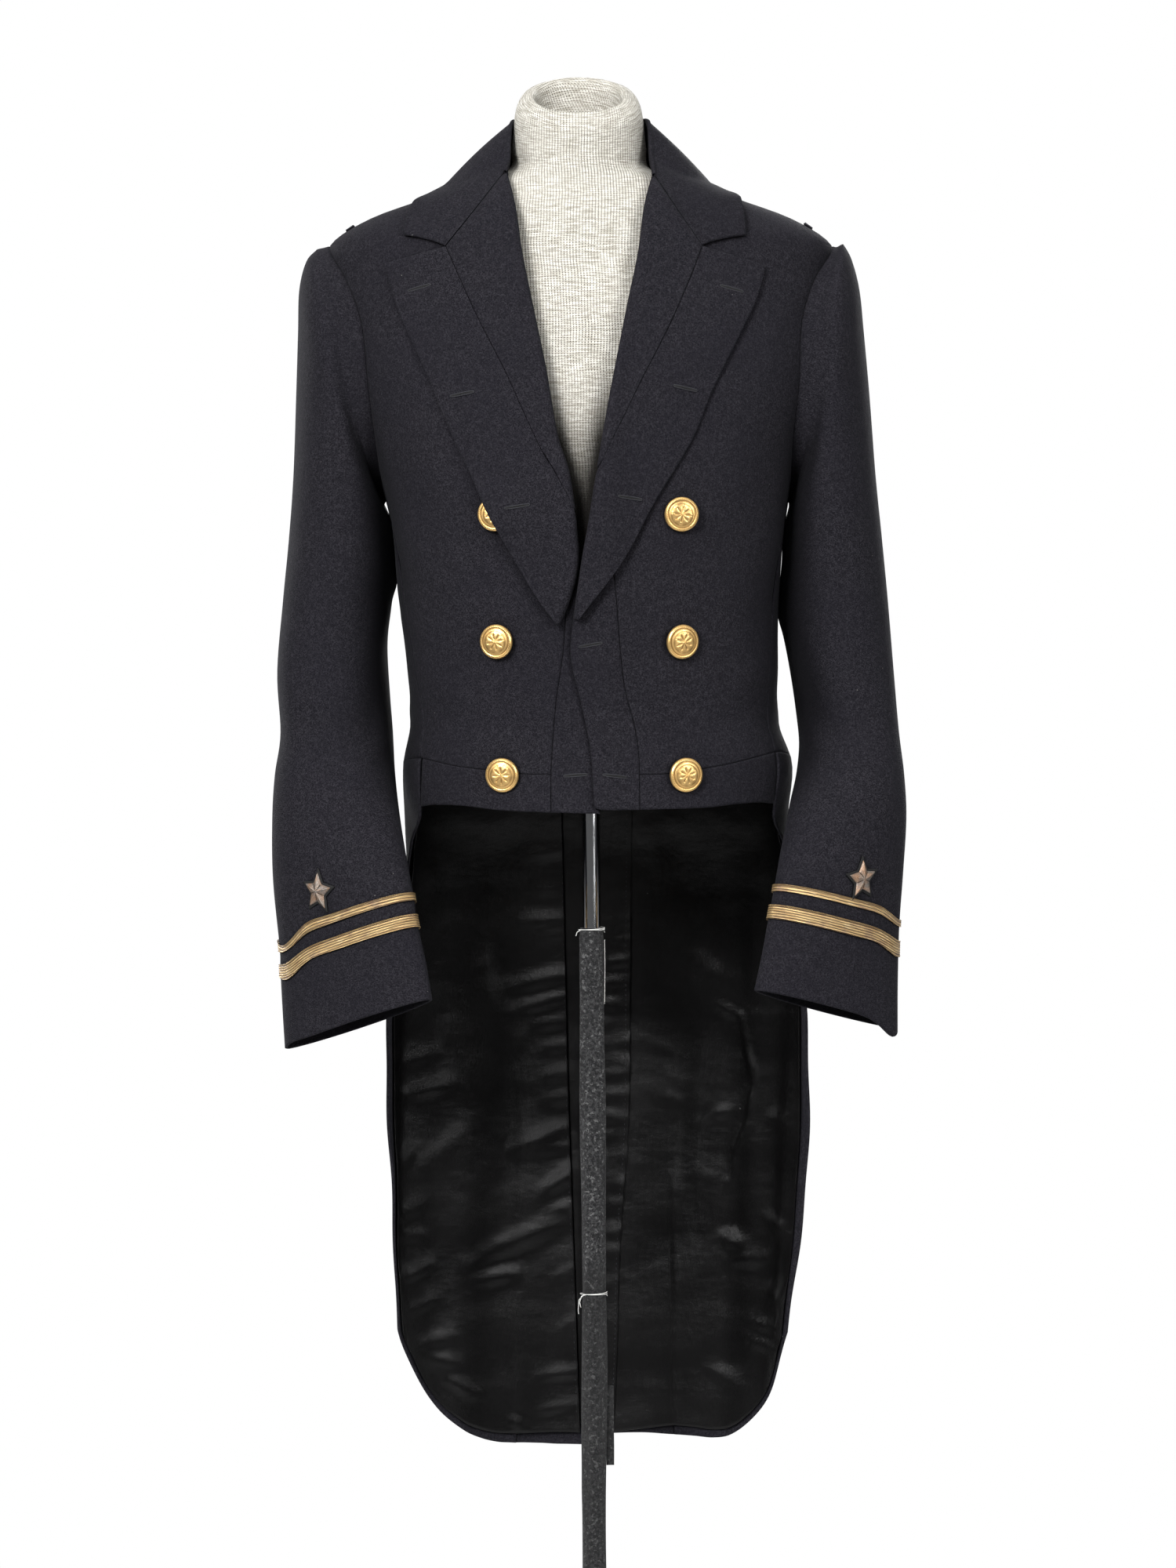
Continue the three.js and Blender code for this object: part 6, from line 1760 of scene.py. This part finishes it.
def backdrop():
    material = bpy.data.materials.new("studio_backdrop")
    material.use_nodes = True
    tree = material.node_tree
    tree.nodes.clear()
    glow = tree.nodes.new("ShaderNodeEmission")
    glow.inputs["Strength"].default_value = 1.0
    tree.links.new(glow.outputs[0], tree.nodes.new("ShaderNodeOutputMaterial").inputs["Surface"])
    rise, turn = np.linspace(-math.pi / 2, math.pi / 2, 25), np.linspace(0, 2 * math.pi, 49)[:-1]
    points = [(BACKDROP_RADIUS * math.cos(a) * math.cos(t), BACKDROP_RADIUS * math.cos(a) * math.sin(t),
               BACKDROP_RADIUS * math.sin(a)) for a in rise for t in turn]
    count = len(turn)
    faces = [(low + k, low + (k + 1) % count, low + count + (k + 1) % count, low + count + k)
             for low in range(0, (len(rise) - 1) * count, count) for k in range(count)]
    dome = staged("studio_backdrop", points, faces, material)
    dome.visible_diffuse = dome.visible_glossy = dome.visible_transmission = dome.visible_shadow = False


# Name, place, target, size, watts and spread in degrees
LIGHTS = (
    ("key", (-1.7, -2.9, 2.6), (0, 0, 1.05), (1.2, 1.5), 19, 60),
    ("fill", (2.2, -2.8, 1.9), (0, 0, 0.9), (1.2, 2.0), 9, 60),
    ("top", (0.0, -0.5, 3.3), (0, 0.0, 1.2), (2.2, 1.6), 4, 90),
    ("rear", (1.0, 3.2, 2.4), (0, 0, 1.1), (1.4, 1.6), 12, 60),
    ("rear_fill", (-2.2, 2.8, 1.7), (0, 0, 0.9), (1.2, 1.8), 7, 60),
)


def area_light(name, place, target, size, watts, spread):
    data = bpy.data.lights.new(name, "AREA")
    data.shape = "RECTANGLE"
    data.size, data.size_y = size
    data.energy = watts
    data.spread = math.radians(spread)
    lamp = bpy.data.objects.new(name, data)
    lamp.location = place
    lamp.rotation_euler = (Vector(target) - Vector(place)).to_track_quat("-Z", "Y").to_euler()
    bpy.context.scene.collection.objects.link(lamp)


floor()
backdrop()
for light in LIGHTS:
    area_light(*light)


# Soft light of the room: dim in front, brighter above and behind
def room():
    world = bpy.data.worlds.new("studio")
    bpy.context.scene.world = world
    world.use_nodes = True
    tree = world.node_tree
    glow = tree.nodes["Background"]
    glow.inputs["Color"].default_value = (1.0, 1.0, 1.0, 1)
    way = tree.nodes.new("ShaderNodeTexCoord").outputs["Generated"]
    parts = tree.nodes.new("ShaderNodeSeparateXYZ")
    tree.links.new(way, parts.inputs[0])
    total = None
    for axis, low, high, rise in ((1, -0.2, 0.9, 0.45), (2, 0.1, 1.0, 0.30)):
        ramp = tree.nodes.new("ShaderNodeMapRange")
        for key, value in (("From Min", low), ("From Max", high), ("To Min", 0.0), ("To Max", rise)):
            ramp.inputs[key].default_value = value
        tree.links.new(parts.outputs[axis], ramp.inputs["Value"])
        add = tree.nodes.new("ShaderNodeMath")
        add.inputs[1].default_value = ROOM_LEVEL
        tree.links.new(ramp.outputs[0], add.inputs[0])
        if total is not None:
            tree.links.new(total, add.inputs[1])
        total = add.outputs[0]
    tree.links.new(total, glow.inputs["Strength"])


room()
bpy.context.scene.view_settings.view_transform = "Standard"
